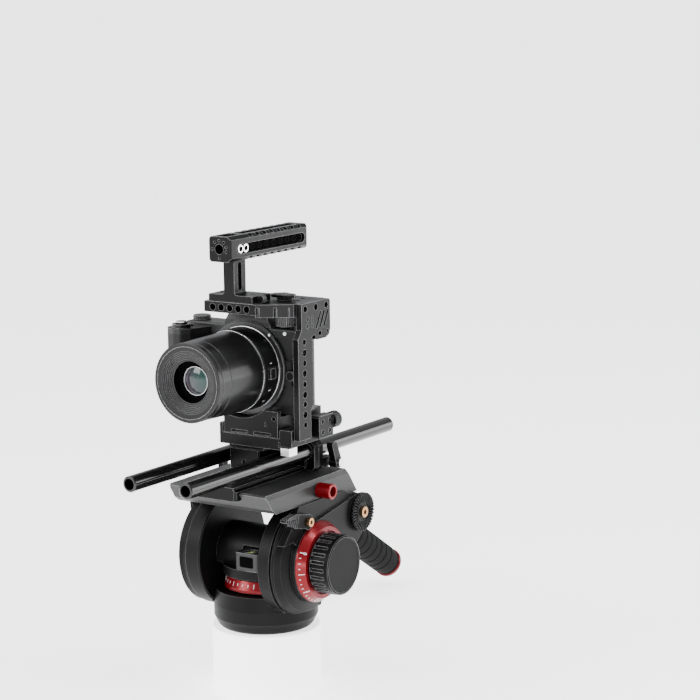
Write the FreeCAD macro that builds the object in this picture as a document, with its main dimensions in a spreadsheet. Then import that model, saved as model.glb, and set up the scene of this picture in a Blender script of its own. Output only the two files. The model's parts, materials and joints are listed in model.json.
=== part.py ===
"""Cinema camera rig: a mirrorless camera in a half cage on 15 mm rods, carried by a fluid head.

Row frame, in millimetres: +Z is up, the lens looks along -Y, +X is the operator's left.
The origin is the centre of the head's bottom face, where the tripod screw enters.
The pan axis is the Z axis. The tilt axis lies along X, tilt_height above the origin.
"""
import FreeCAD, Part
import math
import os

import Sketcher

doc = FreeCAD.newDocument("CinemaRig")


# ---------------------------------------------------------------- driving dimensions
class Size:
    """A length that is both a number and an expression on the spreadsheet."""

    def __init__(self, value, text):
        self.value = float(value)
        self.text = text

    @staticmethod
    def of(item):
        return item if isinstance(item, Size) else Size(item, f"({float(item):.6g})")

    def __add__(self, other):
        other = Size.of(other)
        return Size(self.value + other.value, f"({self.text} + {other.text})")

    def __sub__(self, other):
        other = Size.of(other)
        return Size(self.value - other.value, f"({self.text} - {other.text})")

    def __mul__(self, other):
        other = Size.of(other)
        return Size(self.value * other.value, f"({self.text} * {other.text})")

    def __truediv__(self, other):
        other = Size.of(other)
        return Size(self.value / other.value, f"({self.text} / {other.text})")

    def __radd__(self, other):
        return Size.of(other) + self

    def __rsub__(self, other):
        return Size.of(other) - self

    def __rmul__(self, other):
        return Size.of(other) * self

    def __neg__(self):
        return Size(-self.value, f"(0 - {self.text})")


SHEET_ROWS = {
    # fluid head: base and pan
    "base_foot_radius": 44, "base_radius": 50, "base_top_radius": 48, "base_height": 36,
    "neck_radius": 34.5, "neck_top": 50, "bush_radius": 8, "bush_length": 15.8,
    "tripod_thread_radius": 4.7625, "spindle_radius": 9, "fit": 0.06,
    "pan_ring_radius": 39.5, "pan_ring_bottom": 38, "pan_ring_height": 10.5,
    "lock_lever_length": 26,
    # fluid head: yoke and tilt
    "tilt_height": 68, "drum_radius": 55, "drum_wall": 4, "tilt_shaft_radius": 12,
    "right_rim_inner": 29, "right_rim_outer": 42.3, "right_cover_outer": 55,
    "left_rim_inner": 38, "left_rim_outer": 53.5, "left_cover_outer": 65.5, "drum_groove": 1.5,
    "cartridge_radius": 27, "turntable_radius": 41, "turntable_thickness": 9,
    # fluid head: tilting platform
    "platform_width": 112, "platform_top": 145, "platform_bottom": 125.5,
    "platform_front": -75, "platform_rear": 58, "channel_width": 51.4, "channel_floor": 137,
    "cheek_thickness": 5.4, "hub_radius": 39, "rosette_radius": 18.8, "rosette_teeth": 36,
    "rosette_offset": 73, "rosette_rise": 32.5, "rosette_thickness": 5,
    "index_ring_radius": 38.5, "knob_radius": 28.6, "knob_length": 19.5, "knob_ribs": 24,
    "lock_knob_radius": 7.3, "lock_knob_length": 16.5,
    # pan bar
    "bar_plane": 84.5, "bar_radius": 7, "grip_radius": 16, "grip_length": 120,
    "bar_end_depth": 351, "bar_end_height": -36, "grip_slope": 33,
    # sliding plate, rods and base
    "plate_width": 50, "plate_length": 140, "plate_top": 150, "plate_front": -80,
    "rod_diameter": 15, "rod_bore": 10.6, "rod_length": 334, "rod_spacing": 60,
    "rod_height": 165, "rod_front": -161, "rod_stagger": 4,
    "riser_width": 34, "riser_front": -31, "riser_rear": 26.5, "riser_top": 175,
    "clamp_front": 27, "clamp_rear": 42, "clamp_lug_rear": 58, "clamp_width": 80,
    "qr_left": -24, "qr_right": 45, "qr_front": -37, "qr_floor": 180, "qr_top": 190.5,
    # half cage
    "cage_side_inner": 59, "cage_side_outer": 65, "cage_front": -49, "cage_bar_half": 29,
    "cage_top_face": 316, "cage_top_under": 311.5, "cage_bar_under": 306,
    "quarter_inch_radius": 3.2, "hole_pitch": 9.6,
    # handle
    "post_width": 12, "post_front": -49, "post_rear": -31, "foot_top": 323,
    "handle_bottom": 355, "handle_top": 378.5, "handle_front": -63, "handle_rear": 62,
    "handle_width": 25, "tooth_pitch": 11.2, "tooth_gap": 5.6, "tooth_depth": 2.8,
    # camera and lens
    "lens_height": 251.6, "body_left": 57, "body_right": -74, "body_front": -21,
    "body_rear": 6, "body_bottom": 209.6, "body_shoulder": 290.5, "hump_top": 310.1,
    "grip_edge": -77, "grip_front": -53, "mount_radius": 43.7,
    "lens_front": -116, "front_band_end": -98, "focus_ring_end": -48, "lens_mount_plane": -26,
    "front_radius": 36.7, "focus_radius": 38.2, "rear_barrel_radius": 39.2,
}

sheet = doc.addObject("Spreadsheet::Sheet", "Dims")
for row, (alias, millimetres) in enumerate(SHEET_ROWS.items(), start=1):
    sheet.set(f"A{row}", alias)
    sheet.set(f"B{row}", str(millimetres))
    sheet.setAlias(f"B{row}", alias)
doc.recompute()


class Dims:
    """Reads the sheet: d.rod_height is the cell with that alias, as a Size."""

    def __getattr__(self, alias):
        return Size(sheet.get(alias), f"Dims.{alias}")


d = Dims()
RUNNING_FIT = d.fit
CLEARANCE = 0.4


# ---------------------------------------------------------------- modelling helpers
PLANE_SIGNS = {"XY": 1, "XZ": -1, "YZ": 1}
NODES = []


def number(item):
    return item.value if isinstance(item, Size) else float(item)


def bind(target, path, item):
    """Sets a property from the sheet through an expression."""
    target.setExpression(path, Size.of(item).text)


def origin_feature(body, role):
    return next(f for f in body.Origin.OriginFeatures if f.Role == role)


def new_body(name):
    body = doc.addObject("PartDesign::Body", name)
    body.Label = name
    NODES.append(body)
    return body


def new_sketch(body, plane, level):
    sketch = body.newObject("Sketcher::SketchObject", body.Label + "_sketch")
    sketch.AttachmentSupport = [(origin_feature(body, plane + "_Plane"), "")]
    sketch.MapMode = "FlatFace"
    bind(sketch, "AttachmentOffset.Base.z", Size.of(level) * PLANE_SIGNS[plane])
    return sketch


def fix_point(sketch, geometry, vertex, x, y):
    """Holds one point of a sketch at coordinates taken from the sheet."""
    for kind, item in (("DistanceX", x), ("DistanceY", y)):
        rule = Sketcher.Constraint(kind, -1, 1, geometry, vertex, number(item))
        index = sketch.addConstraint(rule)
        if isinstance(item, Size):
            sketch.setExpression(f"Constraints[{index}]", item.text)


def fix_radius(sketch, geometry, radius):
    index = sketch.addConstraint(Sketcher.Constraint("Radius", geometry, number(radius)))
    if isinstance(radius, Size):
        sketch.setExpression(f"Constraints[{index}]", radius.text)


def flat(x, y):
    return FreeCAD.Vector(number(x), number(y), 0)


def poly(*points):
    """A closed outline of straight lines."""
    def draw(sketch):
        lines = [Part.LineSegment(flat(*a), flat(*b)) for a, b in zip(points, points[1:] + points[:1])]
        first = sketch.addGeometry(lines, False)[0]
        count = len(points)
        for i, point in enumerate(points):
            following = first + (i + 1) % count
            sketch.addConstraint(Sketcher.Constraint("Coincident", first + i, 2, following, 1))
            fix_point(sketch, first + i, 1, *point)
    return draw


def rect(x0, y0, x1, y1):
    return poly((x0, y0), (x1, y0), (x1, y1), (x0, y1))


def disc(x, y, radius):
    def draw(sketch):
        circle = Part.Circle(flat(x, y), FreeCAD.Vector(0, 0, 1), number(radius))
        geometry = sketch.addGeometry(circle, False)
        fix_point(sketch, geometry, 3, x, y)
        fix_radius(sketch, geometry, radius)
    return draw


def oblong(x0, y0, x1, y1, radius):
    """A slot with round ends centred on two points."""
    def draw(sketch):
        ends = (flat(x0, y0), flat(x1, y1))
        heading = math.atan2(ends[1].y - ends[0].y, ends[1].x - ends[0].x)
        side = FreeCAD.Vector(-math.sin(heading), math.cos(heading), 0) * number(radius)
        up = FreeCAD.Vector(0, 0, 1)
        start_arc = Part.ArcOfCircle(Part.Circle(ends[0], up, number(radius)),
                                     heading + math.pi / 2, heading + 1.5 * math.pi)
        end_arc = Part.ArcOfCircle(Part.Circle(ends[1], up, number(radius)),
                                   heading - math.pi / 2, heading + math.pi / 2)
        lower = Part.LineSegment(ends[0] - side, ends[1] - side)
        upper = Part.LineSegment(ends[1] + side, ends[0] + side)
        first = sketch.addGeometry([start_arc, lower, end_arc, upper], False)[0]
        for i in range(4):
            following = first + (i + 1) % 4
            sketch.addConstraint(Sketcher.Constraint("Tangent", first + i, 2, following, 1))
        fix_point(sketch, first, 3, x0, y0)
        fix_point(sketch, first + 2, 3, x1, y1)
        fix_radius(sketch, first, radius)
    return draw


def pad(body, plane, low, high, *outlines):
    """Adds material between two levels of the plane's third axis."""
    sketch = new_sketch(body, plane, high if plane == "XZ" else low)
    for draw in outlines:
        draw(sketch)
    feature = body.newObject("PartDesign::Pad", body.Label + "_pad")
    feature.Profile = sketch
    bind(feature, "Length", Size.of(high) - low)
    doc.recompute()
    return feature


def pocket(body, plane, low, high, *outlines):
    """Cuts material between two levels of the plane's third axis."""
    before = body.Shape.Volume
    sketch = new_sketch(body, plane, low if plane == "XZ" else high)
    for draw in outlines:
        draw(sketch)
    feature = body.newObject("PartDesign::Pocket", body.Label + "_pocket")
    feature.Profile = sketch
    bind(feature, "Length", Size.of(high) - low)
    doc.recompute()
    if body.Shape.Volume > before - 1e-3:
        raise RuntimeError(f"a pocket in {body.Label} cut nothing")
    return feature


def revolve(body, axis, *outlines, plane="XZ"):
    """Turns outlines drawn in the plane about its horizontal (H) or vertical (V) axis."""
    sketch = new_sketch(body, plane, 0)
    for draw in outlines:
        draw(sketch)
    feature = body.newObject("PartDesign::Revolution", body.Label + "_turn")
    feature.Profile = sketch
    feature.ReferenceAxis = (sketch, [axis + "_Axis"])
    feature.Angle = 360
    doc.recompute()
    return feature


def groove(body, axis, *outlines, plane="XZ"):
    before = body.Shape.Volume
    sketch = new_sketch(body, plane, 0)
    for draw in outlines:
        draw(sketch)
    feature = body.newObject("PartDesign::Groove", body.Label + "_groove")
    feature.Profile = sketch
    feature.ReferenceAxis = (sketch, [axis + "_Axis"])
    feature.Angle = 360
    doc.recompute()
    if body.Shape.Volume > before - 1e-3:
        raise RuntimeError(f"a groove in {body.Label} cut nothing")
    return feature


def polar(body, feature, count):
    """Repeats a cut round the body's own Z axis."""
    pattern = body.newObject("PartDesign::PolarPattern", body.Label + "_pattern")
    pattern.Originals = [feature]
    pattern.Axis = (origin_feature(body, "Z_Axis"), [""])
    pattern.Angle = 360
    bind(pattern, "Occurrences", count)
    body.Tip = pattern
    doc.recompute()
    return pattern


TURNS = {
    "Z": FreeCAD.Rotation(),
    "X": FreeCAD.Rotation(FreeCAD.Vector(0, 1, 0), 90),
    "-X": FreeCAD.Rotation(FreeCAD.Vector(0, 1, 0), -90),
    "Y": FreeCAD.Rotation(FreeCAD.Vector(1, 0, 0), -90),
    "-Y": FreeCAD.Rotation(FreeCAD.Vector(1, 0, 0), 90),
}


def place(target, axis, x, y, z):
    """Points the sub-part's own Z axis along an axis of the row frame and moves it."""
    target.Placement = FreeCAD.Placement(FreeCAD.Vector(number(x), number(y), number(z)), TURNS[axis])
    for letter, item in (("x", x), ("y", y), ("z", z)):
        bind(target, "Placement.Base." + letter, item)


def turned(name, axis, centre, *profiles):
    """A lathe-turned sub-part: profiles are (radius, position along the axis) outlines."""
    body = new_body(name)
    revolve(body, "V", *profiles)
    place(body, axis, *centre)
    return body


def pick(shape, test):
    return [f"Edge{i + 1}" for i, edge in enumerate(shape.Edges) if test(edge)]


def parallel(letter, *tests):
    """Straight edges along one axis that pass the further tests on their middle point."""
    direction = {"X": (1, 0, 0), "Y": (0, 1, 0), "Z": (0, 0, 1)}[letter]
    direction = FreeCAD.Vector(*direction)

    def test(edge):
        if not isinstance(edge.Curve, Part.Line):
            return False
        if abs(edge.Curve.Direction.dot(direction)) < 0.999:
            return False
        middle = edge.valueAt((edge.FirstParameter + edge.LastParameter) / 2)
        return all(check(middle) for check in tests)
    return test


def dress(body, kind, size, test):
    """Adds a fillet or a chamfer on the edges that pass the test."""
    base = body.Tip
    names = pick(base.Shape, test)
    feature = body.newObject("PartDesign::" + kind, body.Label + "_" + kind.lower())
    feature.Base = (base, names)
    path = "Radius" if kind == "Fillet" else "Size"
    bind(feature, path, size)
    doc.recompute()
    if not names or not feature.isValid():
        raise RuntimeError(f"{kind} failed on {body.Label}")
    return feature


def keep(target, name):
    """Registers a finished Part object as a sub-part."""
    target.Label = name
    NODES.append(target)
    return target


def block(name, x0, y0, z0, x1, y1, z1):
    """A plain block between two corners, as a Part::Box bound to the sheet."""
    box = doc.addObject("Part::Box", name)
    for path, low, high in (("Length", x0, x1), ("Width", y0, y1), ("Height", z0, z1)):
        bind(box, path, Size.of(high) - low)
    place(box, "Z", x0, y0, z0)
    return box


# ---------------------------------------------------------------- fluid head: base and pan
TILT = d.tilt_height


def pan_base():
    """The fixed casting: flat foot, flared skirt, neck for the drag ring, bore for the spindle."""
    bore = d.spindle_radius + RUNNING_FIT
    profile = poly(
        (d.bush_radius, 0), (d.base_foot_radius, 0), (d.base_foot_radius + 2, 2), (d.base_radius, 10),
        (d.base_radius, 22), (d.base_top_radius, d.base_height), (d.neck_radius, d.base_height),
        (d.neck_radius, d.neck_top), (bore, d.neck_top), (bore, 18), (0, 18),
        (0, d.bush_length), (d.bush_radius, d.bush_length))
    turned("pan_base", "Z", (0, 0, 0), profile)


def base_thread_bush():
    ring = poly((d.tripod_thread_radius, 0), (d.bush_radius, 0),
                (d.bush_radius, d.bush_length), (d.tripod_thread_radius, d.bush_length))
    turned("base_thread_bush", "Z", (0, 0, 0), ring)


def pan_drag_ring():
    bore = d.neck_radius + CLEARANCE
    top = d.pan_ring_height
    profile = poly((bore, 0), (d.pan_ring_radius, 0), (d.pan_ring_radius, 2.5),
                   (d.pan_ring_radius - 3.2, top), (bore, top))
    turned("pan_drag_ring", "Z", (0, 0, d.pan_ring_bottom), profile)


def pan_lock_lever():
    """A short-throw lever low on the back of the base, turning on a screw that lies along Y."""
    body = new_body("pan_lock_lever")
    reach = d.lock_lever_length
    pad(body, "XZ", 0, 6.6, disc(0, 0, 5))
    pad(body, "XZ", 1, 5.6, poly((0, -3.4), (reach, -2.3), (reach, 2.3), (0, 3.4)))
    dress(body, "Fillet", 1.8, parallel("Y", lambda p: p.x > reach.value - 1))
    place(body, "Z", 0, d.base_radius + CLEARANCE, 8)


def head_yoke():
    """The panning fork: turntable, spindle and two hollow rims on the tilt axis."""
    body = new_body("head_yoke")
    plate_low = d.neck_top + 1 - TILT
    plate_high = plate_low + d.turntable_thickness
    spindle_low = 20 - TILT
    shaft_bore = d.tilt_shaft_radius + RUNNING_FIT
    cavity = d.drum_radius - 8
    pad(body, "XY", plate_low, plate_high, disc(0, 0, d.turntable_radius))
    pad(body, "XY", spindle_low, plate_low, disc(0, 0, d.spindle_radius))
    for inner, outer in ((d.right_rim_inner, d.right_rim_outer), (-d.left_rim_inner, -d.left_rim_outer)):
        wall = d.drum_wall if inner.value > 0 else -d.drum_wall
        revolve(body, "H", poly(
            (inner, shaft_bore), (inner, d.drum_radius - 1.2), (inner + wall / 3, d.drum_radius),
            (outer, d.drum_radius), (outer, cavity), (inner + wall, cavity), (inner + wall, shaft_bore)))
    pocket(body, "YZ", -d.turntable_radius - 1, d.turntable_radius + 1, disc(0, 0, shaft_bore))
    clear_base(body)
    place(body, "Z", 0, 0, TILT)


def clear_base(body):
    """Cuts away whatever would sweep through the fixed base as the head pans."""
    plate_low = d.neck_top + 1 - TILT
    post = d.spindle_radius + 0.5
    groove(body, "V", poly(
        (post, -60), (d.base_radius + 1.5, -60), (d.base_radius + 1.5, -44), (d.base_top_radius + 1.8, -30.5),
        (d.turntable_radius, -30.5), (d.turntable_radius, plate_low), (post, plate_low)))


def tilt_cartridge():
    """The sealed drag unit between the rims, arched round the tilt shaft."""
    body = new_body("tilt_cartridge")
    foot = d.neck_top + 1 + d.turntable_thickness - TILT
    left = -d.left_rim_inner
    half = d.cartridge_radius
    pad(body, "YZ", left, d.right_rim_inner, disc(0, 0, half))
    pocket(body, "YZ", left - 1, d.right_rim_inner + 1, rect(-half - 1, -half - 1, half + 1, foot))
    pocket(body, "YZ", left - 1, d.right_rim_inner + 1, disc(0, 0, d.tilt_shaft_radius + RUNNING_FIT))
    pocket(body, "XZ", -half - 1, -21, rect(-8, foot - 1, 21, 12))
    place(body, "Z", 0, 0, TILT)


def drum_cover(name, side, start, end, edge_radius):
    """The domed shell that closes one rim of the yoke."""
    body = new_body(name)
    bore = d.tilt_shaft_radius + RUNNING_FIT
    rim = d.drum_radius - 1.5
    width = end - start
    wall = 3
    profile = [(start, rim - 7), (start, rim), (start + width * 0.25, rim - 0.5),
               (start + width * 0.7, (rim + edge_radius) / 2 + 2), (end, edge_radius), (end, bore),
               (end - wall, bore), (end - wall, edge_radius - wall), (start + width * 0.45, rim - 8.5)]
    revolve(body, "H", poly(*[(x * side, radius) for x, radius in profile]))
    if number(start) < number(d.base_radius) + 1.5:
        clear_base(body)
    place(body, "Z", 0, 0, TILT)


def counterbalance_spring():
    """The coil spring inside the left drum, wound round the tilt shaft."""
    pitch = 3.2
    turns = 3
    helix = Part.makeHelix(pitch, pitch * turns, 22)
    section = Part.Wire(Part.Circle(FreeCAD.Vector(22, 0, 0), FreeCAD.Vector(0, 1, 0), 1.2).toShape())
    coil = Part.Wire(helix).makePipeShell([section], True, True)
    spring = doc.addObject("Part::Feature", "counterbalance_spring")
    spring.Shape = coil
    place(spring, "-X", -d.left_rim_inner - d.drum_wall - 2, 0, TILT)
    keep(spring, "counterbalance_spring")


def level_base():
    """The bubble level's housing, standing on the turntable between the rims."""
    body = new_body("level_base")
    floor = d.neck_top + 1 + d.turntable_thickness
    front = -40
    pad(body, "XY", floor, floor + 17, rect(-7, front, 20, front + 17))
    dress(body, "Fillet", 3, parallel("Z"))
    pocket(body, "XY", floor + 11, floor + 17, disc(6.5, front + 8.5, 6.4))


# ---------------------------------------------------------------- fluid head: tilting parts
def tilt_platform():
    """The casting that carries the sliding plate: a raked block with a channel along Y."""
    body = new_body("tilt_platform")
    half = d.platform_width / 2
    top = d.platform_top
    bottom = d.platform_bottom
    front = d.platform_front
    rear = d.platform_rear
    side = poly((front, top - 1.5), (front + 1.5, top), (rear, top), (rear + 18, bottom - 5.5),
                (rear + 2, bottom - 5.5), (rear - 8, bottom), (front + 15, bottom), (front + 9, bottom + 4.5))
    pad(body, "YZ", -half, half, side)
    channel = d.channel_width / 2
    pocket(body, "XY", d.channel_floor, top + 1, rect(-channel, front - 1, channel, rear + 20))
    pocket(body, "YZ", channel, half + 1, disc(9, top - 10.5, 3.2))
    for sign in (-1, 1):
        edge = half * sign
        pocket(body, "XZ", front - 1, rear + 20, poly(
            (edge, top - 5), (edge + 2 * sign, top - 5), (edge + 2 * sign, top + 1),
             (edge - 2.4 * sign, top + 1),
            (edge - 1.9 * sign, top)))


def cheek(name, side, inner, web_inner):
    """A side arm: hub round the tilt shaft, arm to the rosette, web up to the platform."""
    body = new_body(name)
    hub = d.hub_radius
    boss = d.rosette_radius
    along = d.rosette_offset
    rise = d.rosette_rise
    span = math.hypot(along.value, rise.value)
    lean = math.atan2(rise.value, along.value)
    opening = math.acos((hub.value - boss.value) / span)
    upper = lean + opening
    lower = lean - opening
    arm = poly(
        (hub * math.cos(upper), hub * math.sin(upper)), (hub * math.cos(lower), hub * math.sin(lower)),
        (along + boss * math.cos(lower), rise + boss * math.sin(lower)),
        (along + boss * math.cos(upper), rise + boss * math.sin(upper)))
    outer = inner + d.cheek_thickness
    roof = d.platform_bottom - TILT
    if side > 0:
        pad(body, "YZ", web_inner, outer - 2.6, poly(
            (-26, roof), (50, roof), (60, roof - 5.5), (70, roof - 5.5), (66, 20), (20, 10), (-20, 10),
            (-36, 26), (-52, 25), (-40, 38)))
        pocket(body, "YZ", web_inner - 1, inner, disc(0, 0, 51))
    else:
        pad(body, "YZ", -outer + 2.4, -inner, poly(
            (-30, roof + 14), (60, roof + 14), (70, roof - 6), (66, 20), (20, 10), (-20, 10)))
        pad(body, "YZ", -inner, -d.platform_width / 2, rect(-30, roof + 2, 60, roof + 14))
    low, high = (inner, outer) if side > 0 else (-outer, -inner)
    pad(body, "YZ", low, high, arm)
    pad(body, "YZ", low, high, disc(0, 0, hub))
    boss_low, boss_high = (inner - 14, outer) if side > 0 else (-outer - d.rosette_thickness, -inner)
    pad(body, "YZ", boss_low, boss_high, disc(along, rise, boss - 1.4))
    pocket(body, "YZ", low - 1, high + 1, disc(0, 0, d.tilt_shaft_radius))
    place(body, "Z", 0, 0, TILT)


def tilt_shaft():
    """The stepped steel shaft through both rims; its thin end carries the drag knob."""
    left = -d.left_cover_outer - 5
    right = d.right_cover_outer + 6
    neck = 6
    thick = d.tilt_shaft_radius
    end = right + 24
    profile = poly((0, left), (thick, left), (thick, right), (neck, right), (neck, end), (0, end))
    turned("tilt_shaft", "X", (0, 0, TILT), profile)


def rosette():
    """The toothed disc that a pan bar or accessory arm locks against."""
    body = new_body("right_rosette")
    thick = d.rosette_thickness
    radius = d.rosette_radius
    revolve(body, "V", poly((3.1, 0), (radius, 0), (radius, thick - 0.6), (radius - 0.8, thick),
                            (9.4, thick), (8.6, thick - 1.6), (6.2, thick - 1.6), (3.1, thick - 1.6)))
    tooth = pocket(body, "XZ", 8.6, radius + 1,
                   poly((-1.05, thick + 0.1), (1.05, thick + 0.1), (0, thick - 2.3)))
    polar(body, tooth, d.rosette_teeth)
    face = d.right_cover_outer + 0.6 + d.cheek_thickness
    place(body, "X", face, d.rosette_offset, TILT + d.rosette_rise)


def socket_screw(x, y, z, shank, head_radius, head_height):
    """A socket-head screw along +X: shank, head and a hexagon recess."""
    stem = Part.makeCylinder(2.95, shank, FreeCAD.Vector(x - shank, y, z), FreeCAD.Vector(1, 0, 0))
    head = Part.makeCylinder(head_radius, head_height, FreeCAD.Vector(x, y, z), FreeCAD.Vector(1, 0, 0))
    corners = [FreeCAD.Vector(x + head_height - 2, y + head_radius * 0.52 * math.cos(k * math.pi / 3),
                              z + head_radius * 0.52 * math.sin(k * math.pi / 3)) for k in range(7)]
    recess = Part.Face(Part.makePolygon(corners)).extrude(FreeCAD.Vector(3, 0, 0))
    return stem.fuse(head).cut(recess).removeSplitter()


LEVER_Y = -21
LEVER_Z = 43


def head_screws():
    """The two bronze screws: rosette centre and the tilt lock's pivot."""
    face = number(d.right_cover_outer + 0.6 + d.cheek_thickness)
    rosette_floor = face + number(d.rosette_thickness) - 1.6
    rosette_z = number(TILT + d.rosette_rise)
    centre = socket_screw(rosette_floor, number(d.rosette_offset), rosette_z, 3, 5.2, 2.6)
    pivot = socket_screw(face + 4.8, LEVER_Y, number(TILT) + LEVER_Z, 7.3, 4.2, 2.6)
    screws = doc.addObject("Part::Feature", "head_screws")
    screws.Shape = Part.makeCompound([centre, pivot])
    keep(screws, "head_screws")


def drag_index_ring():
    """The red conical ring that shows the drag setting."""
    start = d.right_cover_outer + 0.6 + d.cheek_thickness
    profile = poly((13, 0), (d.index_ring_radius, 0), (d.index_ring_radius, 1.6),
                   (d.index_ring_radius - 4.6, 8.6), (30.5, 8.6), (30.5, 4), (13, 4))
    turned("drag_index_ring", "X", (start, 0, TILT), profile)


def tilt_drag_knob():
    """The ribbed drag knob with its flat cap."""
    body = new_body("tilt_drag_knob")
    radius = d.knob_radius
    length = d.knob_length
    bore = 6 + RUNNING_FIT
    revolve(body, "V", poly((bore, 0), (radius, 0), (radius, length - 6), (radius - 0.6, length),
                            (radius - 2, length + 0.8), (radius - 2.8, length), (0, length),
                            (0, length - 2.5),
                            (bore, length - 2.5)))
    rib = pocket(body, "XY", 0.8, length - 4.5, rect(radius - 1.5, -1.5, radius + 1, 1.5))
    polar(body, rib, d.knob_ribs)
    place(body, "X", d.right_cover_outer + 0.6 + d.cheek_thickness + 9.2, 0, TILT)


def tilt_lock_lever():
    """A finger lever with a ribbed pad, pivoting on its bronze screw."""
    body = new_body("tilt_lock_lever")
    low = d.right_cover_outer + 0.6 + d.cheek_thickness - 2.6 + CLEARANCE
    high = low + 6.6
    pad(body, "YZ", low, high, disc(0, 0, 7.2))
    pad(body, "YZ", low, high, poly((2, 7), (-22, 11.5), (-36, 9.2), (-37, 6.8), (-20, -2), (-5, -5.2)))
    pocket(body, "YZ", low - 1, high + 1, disc(0, 0, 2.95 + RUNNING_FIT))
    ribs = [poly((-35.2 + k * 3, 12.6), (-33.8 + k * 3, 12.6), (-33.2 + k * 3, 8.4), (-34 + k * 3, 8.4))
            for k in range(5)]
    pocket(body, "YZ", low - 1, high + 1, *ribs)
    place(body, "Z", 0, LEVER_Y, TILT + LEVER_Z)


def plate_lock_knob():
    """The red hollow-ended knob that clamps the sliding plate."""
    radius = d.lock_knob_radius
    length = d.lock_knob_length
    wall = d.platform_width / 2 + CLEARANCE
    profile = poly((0, 0), (radius - 1, 0), (radius, 1), (radius, length - 0.6), (radius - 0.6, length),
                   (radius - 2.2, length), (radius - 2.8, length - 7), (0, length - 7))
    stem_radius = 3.2 - RUNNING_FIT
    stem = poly((0, -20), (stem_radius, -20), (stem_radius, 0), (0, 0))
    body = new_body("plate_lock_knob")
    revolve(body, "V", profile)
    revolve(body, "V", stem)
    place(body, "X", wall, 9, d.platform_top - 10.5)


# ---------------------------------------------------------------- fluid head: pan bar
PIVOT_Y = d.rosette_offset
PIVOT_Z = TILT + d.rosette_rise
GRIP_RAKE = d.grip_slope.value
GRIP_START_Y = d.bar_end_depth - d.grip_length * math.cos(math.radians(GRIP_RAKE))
GRIP_START_Z = d.bar_end_height + d.grip_length * math.sin(math.radians(GRIP_RAKE))
BEND_RADIUS = 60


def bar_path():
    """The bar's centre line: straight from the clamp, one wide bend, then the grip's axis."""
    x = -d.bar_plane.value
    grip = FreeCAD.Vector(0, math.cos(math.radians(GRIP_RAKE)), -math.sin(math.radians(GRIP_RAKE)))
    corner = FreeCAD.Vector(x, GRIP_START_Y.value, GRIP_START_Z.value) - grip * 25
    pivot = FreeCAD.Vector(x, PIVOT_Y.value, PIVOT_Z.value)
    run = (corner - pivot).normalize()
    setback = BEND_RADIUS * math.tan(run.getAngle(grip) / 2)
    bend_start = corner - run * setback
    bend_end = corner + grip * setback
    bisector = (grip - run).normalize()
    centre_gap = BEND_RADIUS / math.cos(run.getAngle(grip) / 2)
    bend_middle = corner + bisector * (centre_gap - BEND_RADIUS)
    start = pivot - run * 22
    end = bend_end + grip * 60
    arc = Part.Arc(bend_start, bend_middle, bend_end).toShape()
    wire = Part.Wire([Part.LineSegment(start, bend_start).toShape(), arc,
                      Part.LineSegment(bend_end, end).toShape()])
    return wire, start, run


BAR_WIRE, BAR_START, BAR_RUN = bar_path()
BAR_RAKE = math.degrees(math.atan2(-BAR_RUN.z, BAR_RUN.y))


def rake(target, x, y, z, angle):
    """Points the sub-part's own Z axis backwards and down by an angle, in a plane across X."""
    place(target, "Z", x, y, z)
    target.Placement.Rotation = FreeCAD.Rotation(FreeCAD.Vector(1, 0, 0), -90 - angle)


def pan_bar_clamp():
    """The block that holds the bar and locks against the left rosette."""
    body = new_body("pan_bar_clamp")
    inner = -(d.left_cover_outer + 0.6 + d.cheek_thickness + d.rosette_thickness + 0.4)
    outer = -d.bar_plane - 10
    pad(body, "YZ", outer, inner, disc(0, 0, 16))
    pocket(body, "XY", -30, 30, disc(-d.bar_plane, 0, d.bar_radius))
    pocket(body, "YZ", outer - 1, outer + 3, disc(0, 0, 5.2))
    rake(body, 0, PIVOT_Y, PIVOT_Z, BAR_RAKE)


def pan_bar_tube():
    outer = d.bar_radius.value
    solids = []
    for radius in (outer - 0.02, outer - 1.6):
        section = Part.Wire(Part.Circle(BAR_START, BAR_RUN, radius).toShape())
        solids.append(BAR_WIRE.makePipeShell([section], True, True))
    tube = doc.addObject("Part::Feature", "pan_bar_tube")
    tube.Shape = solids[0].cut(solids[1])
    keep(tube, "pan_bar_tube")


def pan_bar_grip():
    """The ribbed rubber sleeve over the bar's outer half."""
    body = new_body("pan_bar_grip")
    radius = d.grip_radius
    length = d.grip_length
    bore = d.bar_radius
    ring = 1.6
    profile = [(bore, 0), (radius - 3, 0), (radius - 0.6, 3)]
    for k in range(9):
        base = 8 + k * 11.6
        profile += [(radius, base), (radius, base + 8.4)]
        profile += [(radius - 0.7, base + 9.2), (radius - 0.7, base + 10.8)]
    profile += [(radius - ring, length), (bore, length)]
    revolve(body, "V", poly(*profile))
    rake(body, -d.bar_plane, GRIP_START_Y, GRIP_START_Z, GRIP_RAKE)


def pan_bar_end_cap():
    body = new_body("pan_bar_end_cap")
    radius = d.grip_radius
    revolve(body, "V", poly((0, 0), (radius - 0.8, 0), (radius + 0.2, 0.8), (radius + 0.2, 3),
                            (radius - 2.5, 5.5),
                            (radius - 5, 6), (0, 6)))
    rake(body, -d.bar_plane, d.bar_end_depth, d.bar_end_height, GRIP_RAKE)


def pan_bar_clamp_lever():
    """The wing lever on the outside of the clamp."""
    body = new_body("pan_bar_clamp_lever")
    wall = -d.bar_plane - 10 - CLEARANCE
    pad(body, "YZ", wall - 10, wall, disc(0, 0, 7))
    pad(body, "YZ", wall, wall + 3, disc(0, 0, 5.2 - RUNNING_FIT))
    pad(body, "YZ", wall - 10, wall - 4, poly((-5.5, 0), (5.5, 0), (4, 34), (-4, 34)))
    dress(body, "Fillet", 3, parallel("X", lambda p: p.z > 33))
    place(body, "Z", 0, PIVOT_Y, PIVOT_Z)


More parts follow.
